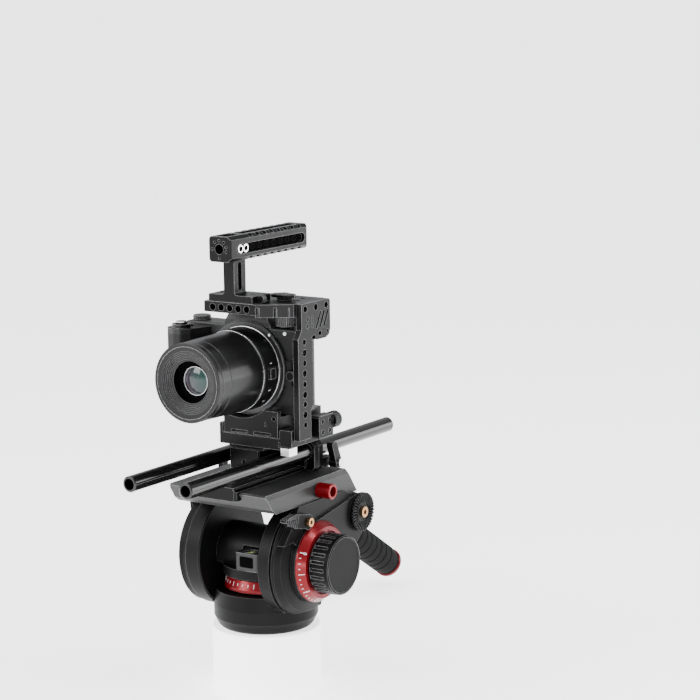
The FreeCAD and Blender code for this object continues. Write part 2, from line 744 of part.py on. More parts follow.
# ---------------------------------------------------------------- sliding plate, rods and base
ROD_Z = d.rod_height
ROD_X = d.rod_spacing / 2
ROD_R = d.rod_diameter / 2


def sliding_plate():
    """The long quick-release plate that slides in the platform's channel."""
    body = new_body("sliding_plate")
    half = d.plate_width / 2
    front = d.plate_front
    rear = front + d.plate_length
    floor = d.channel_floor + 0.3
    top = d.plate_top
    pad(body, "XZ", front, rear, poly((-half, floor), (half, floor), (half, top - 4.2), (half - 2.6, top - 2),
                                      (half - 2.6, top), (2.6 - half, top), (2.6 - half, top - 2),
                                       (-half, top - 4.2)))
    dress(body, "Chamfer", 2, parallel("Z", lambda p: abs(p.x) > half.value - 0.1))
    pocket(body, "XY", top - 1.2, top + 1, rect(-14.5, front + 6, 14.5, d.riser_front - 5))
    pocket(body, "XY", floor - 1, top + 1, oblong(0, front + 16, 0, front + 36, 4.9))


def riser_block():
    """The spacer bolted on the sliding plate, between the rods."""
    body = new_body("riser_block")
    half = d.riser_width / 2
    pad(body, "XY", d.plate_top, d.riser_top, rect(-half, d.riser_front, half, d.riser_rear))
    dress(body, "Chamfer", 1.2, parallel("Z"))
    pad(body, "XY", d.riser_top, d.qr_floor, rect(-half - 3, d.riser_front + 4, half + 3, d.riser_rear))
    pocket(body, "XZ", d.riser_front - 1, d.riser_front + 8, disc(0, (d.plate_top + d.riser_top) / 2, 2.6))


def rod_clamp():
    """The cross bar with two bores for the rods and a split lug under each of them."""
    body = new_body("rod_clamp")
    half = d.clamp_width / 2
    low = ROD_Z - 18.3
    high = ROD_Z + 11.5
    pad(body, "XZ", d.clamp_front, d.clamp_rear, poly(
        (-half, low + 3), (3 - half, low), (half - 3, low), (half, low + 3),
        (half, high - 6), (half - 6, high), (6 - half, high), (-half, high - 6)))
    pad(body, "XZ", d.clamp_rear, d.clamp_lug_rear, poly(
        (ROD_X - 4, low + 0.6), (half, low + 0.6), (half, ROD_Z - 8.2), (ROD_X - 4, ROD_Z - 8.2)))
    bores = [disc(ROD_X * sign, ROD_Z, ROD_R + RUNNING_FIT) for sign in (-1, 1)]
    pocket(body, "XZ", d.clamp_front - 1, d.clamp_lug_rear + 1, *bores)
    split = rect(ROD_X - 0.8, low - 1, ROD_X + 0.8, ROD_Z - 6)
    pocket(body, "XZ", d.clamp_front - 1, d.clamp_lug_rear + 1, split)
    middle = (d.clamp_front + d.clamp_rear) / 2
    pocket(body, "XZ", middle - 0.6, middle + 0.6, rect(half - 2, low - 1, half + 1, high + 1))
    pocket(body, "XY", low - 1, d.plate_top,
           rect(-d.platform_width / 4, d.clamp_front - 1, d.platform_width / 4, d.clamp_rear + 1))
    pad(body, "XY", high - 1, d.qr_floor, rect(-20, d.clamp_front, 20, d.clamp_rear))
    pocket(body, "YZ", ROD_X - 5, half + 1, disc(STUD_Y, STUD_Z, 2.6))


STUD_Y = 51.6
STUD_Z = 152.3


def rod_clamp_lever():
    """The lever that draws the clamp's split lug together."""
    body = new_body("rod_clamp_lever")
    low = d.clamp_width / 2 + 3
    high = low + 9
    pad(body, "YZ", low, high, disc(0, 0, 5.4))
    pad(body, "YZ", low + 2, high, poly((-4.4, -2.2), (4.6, 1), (-4, 21), (-12, 20)))
    dress(body, "Fillet", 2.4, parallel("X", lambda p: p.z > 18))
    pocket(body, "YZ", low - 1, high + 1, disc(0, 0, 2.55 + RUNNING_FIT))
    place(body, "Z", 0, STUD_Y, STUD_Z)


def rod(name, sign):
    """A glossy tube with a threaded mouth at each end."""
    mouth = d.rod_bore / 2
    length = d.rod_length
    edge = 0.8
    profile = poly((mouth, 0), (ROD_R - edge, 0), (ROD_R, edge), (ROD_R, length - edge),
                   (ROD_R - edge, length), (mouth, length))
    front = d.rod_front if sign > 0 else d.rod_front - d.rod_stagger
    turned(name, "Y", (ROD_X * sign, front, ROD_Z), profile)


def qr_base():
    """The quick-release receiver: floor, front lip, rails and the lug for the cage arm."""
    body = new_body("qr_base")
    left = d.qr_left
    right = d.qr_right
    front = d.qr_front
    rear = 45
    floor = d.qr_floor
    pad(body, "XY", floor, d.qr_top, rect(left, front, right + 5, rear))
    pad(body, "XY", floor + 3.4, floor + 19, rect(right, front, d.cage_side_inner - 0.3, front + 23))
    pad(body, "XY", d.qr_top, floor + 19.5, rect(left, front, left + 4.6, front + 7))
    pad(body, "XY", d.qr_top, floor + 15, rect(left, front + 7, left + 4.6, rear))
    pad(body, "XY", d.qr_top, floor + 15, rect(right - 0.4, front + 7, right + 4.6, 29))
    dress(body, "Chamfer", 1, parallel("Z", lambda p: p.x < left.value + 1))
    pocket(body, "XY", floor - 1, floor + 3.4, rect(right + 1.4, front - 1, right + 15, front + 15.4))
    pocket(body, "XZ", front - 1, front + 6, oblong(right - 0.5, floor + 3.4, right - 0.5, floor + 6.6, 0.8))


def qr_lock_tab():
    """The bright release tab under the front corner of the receiver."""
    body = new_body("qr_lock_tab")
    x = d.qr_right + 2
    front = d.qr_front
    low = d.qr_floor - 4.4
    pad(body, "XY", low, low + 7.2, rect(x, front - 2.4, x + 11.2, front + 9))
    dress(body, "Fillet", 1.4, parallel("Z", lambda p: p.y < front.value))


def side_block():
    """The cable-clamp block on the receiver's side, with four threaded holes."""
    body = new_body("side_block")
    low = 184
    pad(body, "YZ", d.qr_right + 5.3, d.qr_right + 15, rect(6.5, low, 30, low + 21))
    dress(body, "Chamfer", 1.4, parallel("X"))
    holes = [disc(18.25 + 6 * i, low + 10.5 + 5 * j, 2.2) for i in (-1, 1) for j in (-1, 1)]
    pocket(body, "YZ", d.qr_right + 8, d.qr_right + 16, *holes)
    pocket(body, "XZ", 25, 31, disc(d.qr_right + 11, low + 13.5, 2.5))


def side_knob():
    """The knurled knob on the back of the side block."""
    body = new_body("side_knob")
    revolve(body, "V", poly((0, -4.6), (2.44, -4.6), (2.44, 0), (7.2, 0), (8, 0.8), (8, 9.2), (7.2, 10),
                            (0, 10)))
    flute = pocket(body, "XY", -1, 11, disc(8.5, 0, 0.9))
    polar(body, flute, 22)
    place(body, "Y", d.qr_right + 11, 30 + CLEARANCE, 197.5)


# ---------------------------------------------------------------- half cage and handle
def cage_side():
    """The side plate of the half cage: a slotted cheek on top of a drilled arm."""
    body = new_body("cage_side")
    inner = d.cage_side_inner
    outer = d.cage_side_outer
    top = d.cage_top_face
    front = -27
    arm_front = -33
    rear = 20
    pad(body, "YZ", inner, outer, poly(
        (arm_front, 189.5), (-14, 189.5), (-14, 216), (-9.4, 220.5), (-9.4, 278), (-5, 281), (-2, 280),
        (rear - 8, 280), (rear - 2, 282.5), (rear, 288), (rear, top - 2), (rear - 2, top), (front, top),
        (front, 292), (arm_front, 284)))
    drilled = [disc(-23, z, d.quarter_inch_radius if k % 2 else 2.7)
               for k, z in enumerate((203.3, 212.8, 222.7, 231.6, 241.5, 251.4, 261.1, 270.7, 280.5))]
    pocket(body, "YZ", inner - 1, outer + 1, *drilled)
    slots = [oblong(y, 304.9, y - 6.9, 291.4, 1.3) for y in (3.9, 9.9, 16.2)]
    pocket(body, "YZ", inner - 1, outer + 1, *slots)
    upper = [disc(y, top - 5.4, 3) for y in (-20.8, -3.6, 13.5)]
    lower = [disc(2.7, 285.4, 2.3), disc(15.4, 286.2, 1.6), disc(-7.5, 281.8, 3.2)]
    pocket(body, "YZ", inner - 1, outer + 1, *upper, *lower)
    pocket(body, "YZ", outer - 0.9, outer + 1, *[oblong(-17 + 9.2 * math.cos(a), 298 + 9.2 * math.sin(a),
                                                       -17 + 9.2 * math.cos(b), 298 + 9.2 * math.sin(b), 0.8)
                                                for a, b in arc_steps()])
    pocket(body, "YZ", inner - 1, outer + 1, *[disc(y, z, 2.1) for y, z in CAGE_SCREWS])


CAGE_SCREWS = ((-17.3, 301.2), (-17.9, 294.6))


def arc_steps():
    """One short chord: the index mark beside the two cage screws."""
    return [(math.radians(-36), math.radians(36))]


def cage_top():
    """The top plate: drilled front bar, raked notched band and the deck over the camera."""
    body = new_body("cage_top")
    front = d.cage_front
    half = d.cage_bar_half
    top = d.cage_top_face
    under = d.cage_top_under
    bar = d.cage_bar_under
    inner = d.cage_side_inner
    corner_y = -27
    pad(body, "XY", under, top, poly((-half, front), (half, front), (inner, corner_y - 3.5), (inner, 19),
                                     (-half, 19)))
    pad(body, "XY", bar, under, rect(-half, front, half, front + 9))
    pad(body, "XY", bar - 2, under, poly((half, front), (inner, corner_y - 3.5), (inner, corner_y + 4),
                                         (half, front + 8)))
    holes = [disc(k * d.hole_pitch, bar + 4.8, d.quarter_inch_radius) for k in range(-2, 3)]
    pocket(body, "XZ", front - 1, front + 8, *holes)
    slope = (number(corner_y - 3.5 - front)) / number(inner - half)
    for offset, width in ((0.2, 2.6), (14.2, 2.4), (25.8, 0.7)):
        x0 = half + offset
        x1 = x0 + width
        y0 = front + slope * offset
        y1 = y0 + slope * width
        pocket(body, "XY", bar - 3, top - 3, poly((x0, y0 - 3), (x1, y1 - 3), (x1, y1 + 2.4), (x0, y0 + 2.4)))
    pocket(body, "XY", under - 1, top + 1, *[disc(x, 6, d.quarter_inch_radius) for x in (-18, -6, 6, 18, 44)])
    pocket(body, "XY", under - 1, top + 1, oblong(36, -8, 50, -8, 2.4))


def handle_bracket():
    """The T-shaped foot and slotted post of the top handle."""
    body = new_body("handle_bracket")
    half = d.post_width / 2
    deck = d.cage_top_face
    foot = d.foot_top
    top = d.handle_bottom
    pad(body, "XY", deck, foot, rect(-23.5, d.post_front, 25.7, -20))
    pad(body, "XY", foot, top, rect(-half, d.post_front, half, d.post_rear))
    dress(body, "Fillet", 2.6, lambda e: parallel("Y")(e) and abs(middle_of(e).z - foot.value) < 0.1
          and abs(middle_of(e).x) < half.value + 0.1)
    middle = (d.post_front + d.post_rear) / 2
    pocket(body, "YZ", -half - 1, half + 1, oblong(middle, foot + 6, middle, top - 5, 3))
    pocket(body, "XY", foot - 3.4, foot + 1, disc(-15, -34, 5.6))
    pocket(body, "XY", deck - 1, foot + 1, disc(-15, -34, 3), disc(15, -34, 3))


def middle_of(edge):
    return edge.valueAt((edge.FirstParameter + edge.LastParameter) / 2)


def top_handle():
    """The carrying handle: chamfered bar, long side slots, toothed edges, accessory thread in front."""
    body = new_body("top_handle")
    half = d.handle_width / 2
    low = d.handle_bottom
    high = d.handle_top
    front = d.handle_front
    rear = d.handle_rear
    cut = 3.2
    axis_z = (low + high) / 2
    pad(body, "XZ", front, rear, poly(
        (cut - half, low), (half - cut, low), (half, low + cut), (half, high - cut), (half - cut, high),
        (cut - half, high), (-half, high - cut), (-half, low + cut)))
    dress(body, "Fillet", 2.5, parallel("Z"))
    slot_low = axis_z - 0.8
    for sign in (-1, 1):
        face = half * sign
        floor = face - 3.6 * sign
        low_x, high_x = sorted((face + sign, floor), key=number)
        pocket(body, "YZ", low_x, high_x, oblong(front + 15, slot_low, rear - 10, slot_low, 4.6))
    pocket(body, "XZ", front - 1, front + 14, disc(0, axis_z, 4.7))
    pins = [disc(8.1 * math.cos(math.radians(a)), axis_z + 8.1 * math.sin(math.radians(a)), 1.15)
            for a in (-90, -15, 15, 52, 90, 128, 180)]
    pocket(body, "XZ", front - 1, front + 4, *pins)
    pocket(body, "XY", high - 5, high + 1, rect(-6.2, front + 4, 6.2, front + 23))
    pocket(body, "XY", high - 2.4, high + 1, rect(-4.4, front + 30, 4.4, rear - 8))
    shanks = [disc(y, slot_low, 3) for y in HANDLE_SCREW_DEPTHS]
    pocket(body, "YZ", half - 13.6, half - 3, *shanks)
    notch_side = half - cut - 1.8
    first_notch = front + 31
    for level, rise in ((high, -1), (low, 1)):
        notches = []
        for k in range(8):
            start = first_notch + k * d.tooth_pitch
            notches.append(rect(-half - 1, start, -notch_side, start + d.tooth_gap))
            notches.append(rect(notch_side, start, half + 1, start + d.tooth_gap))
        edge_low, edge_high = sorted((level - rise, level + d.tooth_depth * rise), key=number)
        pocket(body, "XY", edge_low, edge_high, *notches)


HANDLE_SCREW_DEPTHS = (-45.6, -37.4)


def handle_thumb_screw():
    """The knurled screw that clamps the handle's foot to the cage."""
    body = new_body("handle_thumb_screw")
    revolve(body, "V", poly((0, 0), (3.2, 0), (3.6, 0.4), (3.6, 5.2), (3.2, 5.6), (0, 5.6)))
    flute = pocket(body, "XY", -1, 7, disc(3.9, 0, 0.5))
    polar(body, flute, 14)
    place(body, "-Y", 29.8, -36, 320)


def rig_screws():
    """Bright screws of the rig: two in the handle, two in the cage, the rod clamp's stud."""
    solids = []
    slot_floor = number(d.handle_width / 2) - 3.6
    axis_z = number((d.handle_bottom + d.handle_top) / 2) - 0.8
    for y in HANDLE_SCREW_DEPTHS:
        solids.append(socket_screw(slot_floor, y, axis_z, 9, 3.9, 2.8))
    for y, z in CAGE_SCREWS:
        start = FreeCAD.Vector(number(d.cage_side_inner) + 0.4, y, z)
        solids.append(Part.makeCylinder(2.0, 5.2, start, FreeCAD.Vector(1, 0, 0)))
    stud_end = number(d.clamp_width / 2) + 12.4
    stud_start = FreeCAD.Vector(26.5, STUD_Y, STUD_Z)
    stud = Part.makeCylinder(2.55, stud_end - 26.5, stud_start, FreeCAD.Vector(1, 0, 0))
    cap = Part.makeCylinder(4.1, 2.2, FreeCAD.Vector(stud_end, STUD_Y, STUD_Z), FreeCAD.Vector(1, 0, 0))
    solids.append(stud.fuse(cap))
    screws = doc.addObject("Part::Feature", "rig_screws")
    screws.Shape = Part.makeCompound(solids)
    keep(screws, "rig_screws")


# ---------------------------------------------------------------- camera
AXIS_Z = d.lens_height


def camera_plate():
    """The quick-release plate under the camera, with a raised front wall cut round the lens mount."""
    body = new_body("camera_plate")
    low = d.qr_top + 0.5
    left = -18
    right = 43
    front = d.qr_front
    pad(body, "XY", low, d.body_bottom, rect(left, front + 5.5, right, 35))
    pad(body, "XZ", front, front + 5.5, rect(left, low, right, low + 24.5))
    pocket(body, "XZ", front - 1, -20.5, disc(0, AXIS_Z, d.mount_radius + 1.8))
    pocket(body, "XZ", front - 1, front + 4, disc(38.7, 208.6, 1.9), oblong(29.5, 201.4, 29.5, 204.2, 0.8))
    pocket(body, "XZ", front - 1, front + 2.4, oblong(-9, low + 2.4, 8, low + 2.4, 1.2),
           oblong(17, low + 2.4, 34, low + 2.4, 1.2))
    pocket(body, "XY", low - 1, low + 5, rect(-3, front + 14, 28, 24))


def camera_body():
    """The body shell: rounded block, mount boss, lens-release shoulder, throat and battery bay."""
    body = new_body("camera_body")
    left = d.body_right
    right = d.body_left
    front = d.body_front
    rear = d.body_rear
    low = d.body_bottom
    high = d.body_shoulder
    pad(body, "XZ", front, rear, rect(left, low, right, high))
    dress(body, "Fillet", 5, parallel("Y"))
    dress(body, "Fillet", 2, parallel("Z", lambda p: p.x < left.value + 1))
    pad(body, "XZ", front - 3.5, front, disc(0, AXIS_Z, d.mount_radius + 0.8))
    pad(body, "XZ", front - 2, front, rect(38, AXIS_Z - 13.6, 50, AXIS_Z + 9.4))
    pad(body, "XY", high - 6, high + 3.5, rect(right - 6.5, -18, right, -12))
    pocket(body, "XZ", front - 5, -8, disc(0, AXIS_Z, 27.5))
    pocket(body, "XZ", -8, -3.4, rect(-20, AXIS_Z - 14, 20, AXIS_Z + 14))
    pocket(body, "XZ", front - 3, front, disc(RELEASE_X, RELEASE_Z, 5.5))
    pocket(body, "XZ", front - 1, front + 8, disc(RELEASE_X, RELEASE_Z, 2 + RUNNING_FIT))
    pocket(body, "XZ", front - 1, -8, rect(*BATTERY_BAY))
    pocket(body, "XY", high - 6, high + 1, disc(*DIAL_CENTRE, 3 + RUNNING_FIT),
           disc(*COMMAND_CENTRE, 3 + RUNNING_FIT))
    pocket(body, "XZ", rear - 0.8, rear + 1, rect(-39, 221, 43, 273))


RELEASE_X = 50.5
RELEASE_Z = 248
DIAL_CENTRE = (37.2, -10.3)
COMMAND_CENTRE = (-62, -9)
SHUTTER_CENTRE = (-61, -42.5)
BATTERY_BAY = (-69.7, 213.4, -46.6, 266)


def camera_grip():
    """The hand grip in front of the body, hollow for the battery."""
    body = new_body("camera_grip")
    front = d.grip_front
    back = d.body_front
    edge = d.grip_edge
    low = d.body_bottom + 1.4
    high = 287
    pad(body, "XY", low, high, poly((-42, back), (-45, back - 8), (-49.5, back - 23), (-56, front + 1.5),
                                    (-63, front), (edge + 5, front + 3), (edge, front + 10),
                                    (edge, back - 6), (edge + 3, back)))
    dress(body, "Fillet", 5, parallel("Z", lambda p: p.y < -21.5))
    pocket(body, "XZ", front + 8.6, back + 1, rect(*BATTERY_BAY))
    pocket(body, "XZ", back - 6, back + 1, disc(0, AXIS_Z, d.mount_radius + 1.2))
    pocket(body, "XY", high - 9, high + 1, disc(*SHUTTER_CENTRE, 2 + RUNNING_FIT))


def camera_battery():
    battery = block("camera_battery", -69.4, -44, 213.7, -46.9, -8.4, 265.7)
    keep(battery, "camera_battery")


def image_sensor():
    sensor = block("image_sensor", -19, -7.8, AXIS_Z - 13, 19, -5.4, AXIS_Z + 13)
    keep(sensor, "image_sensor")


def viewfinder_housing():
    """The hump over the mount, wide at its foot and raked on both sides."""
    body = new_body("viewfinder_housing")
    low = d.body_shoulder
    high = d.hump_top
    front = d.body_front - 1
    pad(body, "XZ", front, 8, poly((-27, low), (27, low), (25, low + 4), (18.5, high - 2), (16, high),
                                   (-16, high), (-18.5, high - 2), (-25, low + 4)))
    pocket(body, "YZ", -30, 30, poly((front - 1, low + 5), (front, low + 5), (front + 3, high),
                                     (front + 3, high + 1), (front - 1, high + 1)))
    pocket(body, "XZ", front - 1, front + 1, disc(0, AXIS_Z, d.mount_radius + 0.8))
    pocket(body, "XZ", 2, 9, oblong(-9, low + 9, 9, low + 9, 6))
    pocket(body, "XY", high - 1, high + 1, rect(-9, -12, 9, 6))


def eyecup():
    """The rubber eyepiece surround."""
    body = new_body("eyecup")
    low = d.body_shoulder - 5
    pad(body, "XZ", 8, 15, rect(-20, low, 20, low + 22.5))
    dress(body, "Fillet", 6, parallel("Y"))
    pocket(body, "XZ", 7, 16, oblong(-8, low + 12.6, 8, low + 12.6, 6.4))
    pocket(body, "XY", low - 1, d.hump_top, rect(-21, 7, 21, 8.3))


def rear_screen():
    """The tilting screen in its shallow recess."""
    body = new_body("rear_screen")
    face = d.body_rear - 0.4
    pad(body, "XZ", face, face + 4.4, rect(-38.4, 221.6, 42.4, 272.4))
    dress(body, "Fillet", 2, parallel("Y"))
    pocket(body, "XZ", face + 3.8, face + 5, rect(-35, 226, 39, 268))


def mode_dial():
    """The knurled dial on the body's top."""
    body = new_body("mode_dial")
    radius = 10.3
    revolve(body, "V", poly((0, -5), (3, -5), (3, 0), (radius - 1.2, 0), (radius, 0.8), (radius, 9.8),
                            (radius - 1, 10.8), (radius - 2.4, 10.4), (0, 10.4)))
    flute = pocket(body, "XY", -1, 12, disc(radius + 0.5, 0, 0.9))
    polar(body, flute, 28)
    place(body, "Z", *DIAL_CENTRE, d.body_shoulder + 1)


def command_dial():
    body = new_body("command_dial")
    radius = 8.6
    revolve(body, "V", poly((0, -5), (3, -5), (3, 0), (radius, 0), (radius, 3.4), (radius - 0.8, 4), (0, 4)))
    flute = pocket(body, "XY", -1, 5, disc(radius + 0.5, 0, 0.9))
    polar(body, flute, 24)
    place(body, "Z", *COMMAND_CENTRE, d.body_shoulder + CLEARANCE)


def power_collar():
    """The switch ring round the shutter button, with a finger tab."""
    body = new_body("power_collar")
    pad(body, "XY", 0, 3.6, disc(0, 0, 9))
    pad(body, "XY", 0.6, 3.6, poly((-2.4, 0), (2.4, 0), (1.6, 11.6), (-1.6, 11.6)))
    pocket(body, "XY", -1, 5, disc(0, 0, 6))
    place(body, "Z", *SHUTTER_CENTRE, 287.4)
    body.Placement.Rotation = FreeCAD.Rotation(FreeCAD.Vector(0, 0, 1), -60)


def shutter_button():
    profile = poly((0, -7), (2, -7), (2, 0), (5.5, 0), (5.5, 3.6), (4.6, 4.4), (0, 4.1))
    turned("shutter_button", "Z", (*SHUTTER_CENTRE, 289), profile)


def lens_release_button():
    profile = poly((0, -6), (2, -6), (2, 0), (4.8, 0), (4.8, 2.4), (4.2, 3), (0, 3))
    turned("lens_release_button", "-Y", (RELEASE_X, d.body_front - 2.6, RELEASE_Z), profile)


# ---------------------------------------------------------------- lens
def mount_ring():
    ring = poly((27, 0), (d.mount_radius - 0.5, 0), (d.mount_radius, 0.5), (d.mount_radius, 1.5), (27, 1.5))
    turned("mount_ring", "Y", (0, d.lens_mount_plane, AXIS_Z), ring)


def lens_barrel():
    """The front band with its stepped hood cone, and the sleeve the focus ring runs on."""
    radius = d.front_radius
    shoulder = d.front_band_end - d.lens_front
    sleeve = 33
    end = d.focus_ring_end - d.lens_front + 8
    steps = []
    for k in range(6):
        steps += [(19.8 + 1.5 * k, 5.6 - 0.75 * k), (21.3 + 1.5 * k, 5.6 - 0.75 * k)]
    points = [(12.8, 14.6), (14.6, 13.2), (19.4, 12.4), (19.4, 5.6)] + steps
    points += [(28.9, 1.1), (33, 0.7), (33.3, 0), (radius - 0.7, 0), (radius, 0.7), (radius, 5),
               (radius - 0.6, 5.4), (radius - 0.6, 6.2), (radius, 6.6), (radius, shoulder - 0.4),
               (sleeve, shoulder - 0.4), (sleeve, end), (sleeve - 3, end), (sleeve - 3, 24), (12.8, 24)]
    turned("lens_barrel", "Y", (0, d.lens_front, AXIS_Z), poly(*points))


def lens_focus_ring():
    body = new_body("lens_focus_ring")
    bore = 33 + RUNNING_FIT
    length = d.focus_ring_end - d.front_band_end - 0.3
    front = d.front_radius + 0.2
    rear = d.focus_radius
    revolve(body, "V", poly((bore, 0), (front - 0.5, 0), (front, 0.5), (rear - 0.4, length - 2.4),
                            (rear, length - 1.6), (rear, length - 0.4), (rear - 0.5, length), (bore, length)))
    place(body, "Y", 0, d.front_band_end, AXIS_Z)


def lens_rear_barrel():
    """The glossy rear band with its bright flange; the mode switch sits in a side recess."""
    body = new_body("lens_rear_barrel")
    start = d.focus_radius
    radius = d.rear_barrel_radius
    length = d.lens_mount_plane - d.focus_ring_end - 0.2
    revolve(body, "V", poly((33, 0), (start - 0.5, 0), (start, 0.5), (radius, length - 1.8), (radius, length),
                            (22, length), (22, length - 3), (28, length - 3), (28, 8), (33, 8)))
    pocket(body, "YZ", d.focus_radius - 1, d.focus_radius + 5, rect(-5.5, 4.5, 5.5, 16))
    place(body, "Y", 0, d.focus_ring_end + 0.2, AXIS_Z)


def lens_mode_switch():
    x = d.focus_radius - 1 + CLEARANCE
    switch = block("lens_mode_switch", x, d.focus_ring_end + 5.2, AXIS_Z - 4.8,
                   x + 3.2, d.focus_ring_end + 12.4, AXIS_Z + 4.8)
    keep(switch, "lens_mode_switch")


def lens_glass():
    """The front element: a meniscus in its seat."""
    body = new_body("lens_glass")
    rim = 12.4
    bulge = []
    for k in range(6):
        radius = rim * (5 - k) / 5
        bulge.append((radius, 14.8 - 2.4 * (1 - (radius / rim) ** 2)))
    revolve(body, "V", poly((0, 21), (rim, 19.5), *bulge))
    place(body, "Y", 0, d.lens_front, AXIS_Z)


# ---------------------------------------------------------------- build every sub-part
def build():
    pan_base()
    base_thread_bush()
    pan_drag_ring()
    pan_lock_lever()
    head_yoke()
    tilt_cartridge()
    drum_cover("right_drum_cover", 1, d.right_rim_outer + d.drum_groove, d.right_cover_outer, 40)
    drum_cover("left_drum_cover", -1, d.left_rim_outer + d.drum_groove, d.left_cover_outer, 50)
    counterbalance_spring()
    level_base()
    tilt_platform()
    cheek("right_cheek", 1, d.right_cover_outer + 0.6, d.right_cover_outer - 4.2)
    cheek("left_cheek", -1, d.left_cover_outer + 0.6, None)
    tilt_shaft()
    rosette()
    head_screws()
    drag_index_ring()
    tilt_drag_knob()
    tilt_lock_lever()
    plate_lock_knob()
    pan_bar_clamp()
    pan_bar_tube()
    pan_bar_grip()
    pan_bar_end_cap()
    pan_bar_clamp_lever()
    sliding_plate()
    riser_block()
    rod_clamp()
    rod_clamp_lever()
    rod("right_rod", 1)
    rod("left_rod", -1)
    qr_base()
    qr_lock_tab()
    side_block()
    side_knob()
    cage_side()
    cage_top()
    handle_bracket()
    top_handle()
    handle_thumb_screw()
    rig_screws()
    camera_plate()
    camera_body()
    camera_grip()
    camera_battery()
    image_sensor()
    viewfinder_housing()
    eyecup()
    rear_screen()
    mode_dial()
    command_dial()
    power_collar()
    shutter_button()
    lens_release_button()
    mount_ring()
    lens_barrel()
    lens_focus_ring()
    lens_rear_barrel()
    lens_mode_switch()
    lens_glass()


def check():
    """Every object of the document must be in order before anything is written."""
    doc.recompute()
    for item in doc.Objects:
        for state in ("Invalid", "Error"):
            if state in item.State:
                raise RuntimeError(f"{item.Label} is {state}")
    for node in NODES:
        if node.Shape.isNull() or not node.Shape.isValid():
            raise RuntimeError(f"{node.Label} has no valid shape")


def export():
    os.makedirs("parts", exist_ok=True)
    for node in NODES:
        node.Shape.exportStep(f"parts/{node.Label}.step")
        box = node.Shape.BoundBox
        print(f"{node.Label}: {len(node.Shape.Solids)} solid(s), {box.XLength:.1f} x {box.YLength:.1f} x "
              f"{box.ZLength:.1f} mm")


build()
check()
export()
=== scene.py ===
# %% [markdown]
# # A camera rig on a fluid head
# This notebook dresses a measured model of a camera rig. The model arrives as separate metal, rubber and
# glass parts, already in place and already on their joints. What is left is what a painter and an
# anodiser would do: give every part its real finish, add the small trim that is too fine for
# the model, and light it all on a pale floor.

# %% Load the model
import json
import math
import bmesh
import bpy
from mathutils import Matrix, Vector


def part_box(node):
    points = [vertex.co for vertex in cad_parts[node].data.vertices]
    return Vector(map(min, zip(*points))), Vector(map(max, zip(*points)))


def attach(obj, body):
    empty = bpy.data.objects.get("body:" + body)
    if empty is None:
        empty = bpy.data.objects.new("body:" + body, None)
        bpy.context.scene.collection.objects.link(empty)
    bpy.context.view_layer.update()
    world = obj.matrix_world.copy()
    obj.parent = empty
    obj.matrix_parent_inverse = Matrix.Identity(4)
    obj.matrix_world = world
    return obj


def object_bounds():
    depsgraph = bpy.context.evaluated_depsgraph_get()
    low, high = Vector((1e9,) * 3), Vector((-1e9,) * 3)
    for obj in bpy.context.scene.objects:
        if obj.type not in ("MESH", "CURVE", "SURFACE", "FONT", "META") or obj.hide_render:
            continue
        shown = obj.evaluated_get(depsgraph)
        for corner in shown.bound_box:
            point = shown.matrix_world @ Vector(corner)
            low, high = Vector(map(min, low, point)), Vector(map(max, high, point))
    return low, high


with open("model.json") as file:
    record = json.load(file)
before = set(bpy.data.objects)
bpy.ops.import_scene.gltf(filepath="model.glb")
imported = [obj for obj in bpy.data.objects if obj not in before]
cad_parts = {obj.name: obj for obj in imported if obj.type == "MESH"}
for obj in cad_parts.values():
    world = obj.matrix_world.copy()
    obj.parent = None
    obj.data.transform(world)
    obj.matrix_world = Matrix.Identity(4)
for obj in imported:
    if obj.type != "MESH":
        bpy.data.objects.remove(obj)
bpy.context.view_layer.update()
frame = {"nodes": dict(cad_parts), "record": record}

MM = 0.001
nodes = frame["nodes"]
slot_of = {part["node"]: part["material_slot"] for part in frame["record"]["subparts"]}

# %% [markdown]
# ## Shader maths as plain sums
# A finish is a small sum: a base shade, plus a little noise, plus a lighter line where an edge has worn.
# Blender writes such sums as Math nodes. It is far easier to read `1 - mask * 0.4` than a web of boxes, so
# one class wraps a socket and adds the Math node whenever two of them meet. Its `node` method makes any
# other kind of node: settings first, then the values or links of its sockets.


# %% One class for shader values
class Shade:
    """One value in a material: wraps an output socket and grows nodes when it is used in a sum."""

    def __init__(self, tree, socket):
        self.tree = tree
        self.socket = socket

    def node(self, kind, settings=None, feeds=None, out=0):
        """Adds one node of any kind and returns the output that is asked for."""
        made = self.tree.nodes.new(kind)
        for name, value in (settings or {}).items():
            if name == "stops":
                ramp = made.color_ramp
                for i, (place, colour) in enumerate(value):
                    stop = ramp.elements[i] if i < 2 else ramp.elements.new(place)
                    stop.position = place
                    stop.color = colour
            else:
                setattr(made, name, value)
        for name, value in (feeds or {}).items():
            if isinstance(value, Shade):
                self.tree.links.new(value.socket, made.inputs[name])
            else:
                made.inputs[name].default_value = value
        return Shade(self.tree, made.outputs[out])

    def maths(self, operation, first, second=0.0):
        """Adds one Math node with two inputs."""
        return self.node("ShaderNodeMath", {"operation": operation}, {0: first, 1: second})

    def __add__(self, other):
        return self.maths("ADD", self, other)

    def __sub__(self, other):
        return self.maths("SUBTRACT", self, other)

    def __mul__(self, other):
        return self.maths("MULTIPLY", self, other)

    def __rsub__(self, other):
        return self.maths("SUBTRACT", other, self)

    def above(self, limit):
        """1 where the value is over the limit, 0 elsewhere."""
        return self.maths("GREATER_THAN", self, limit)

    def below(self, limit):
        """1 where the value is under the limit, 0 elsewhere."""
        return self.maths("LESS_THAN", self, limit)

    __radd__ = __add__
    __rmul__ = __mul__


print("shader sums ready")

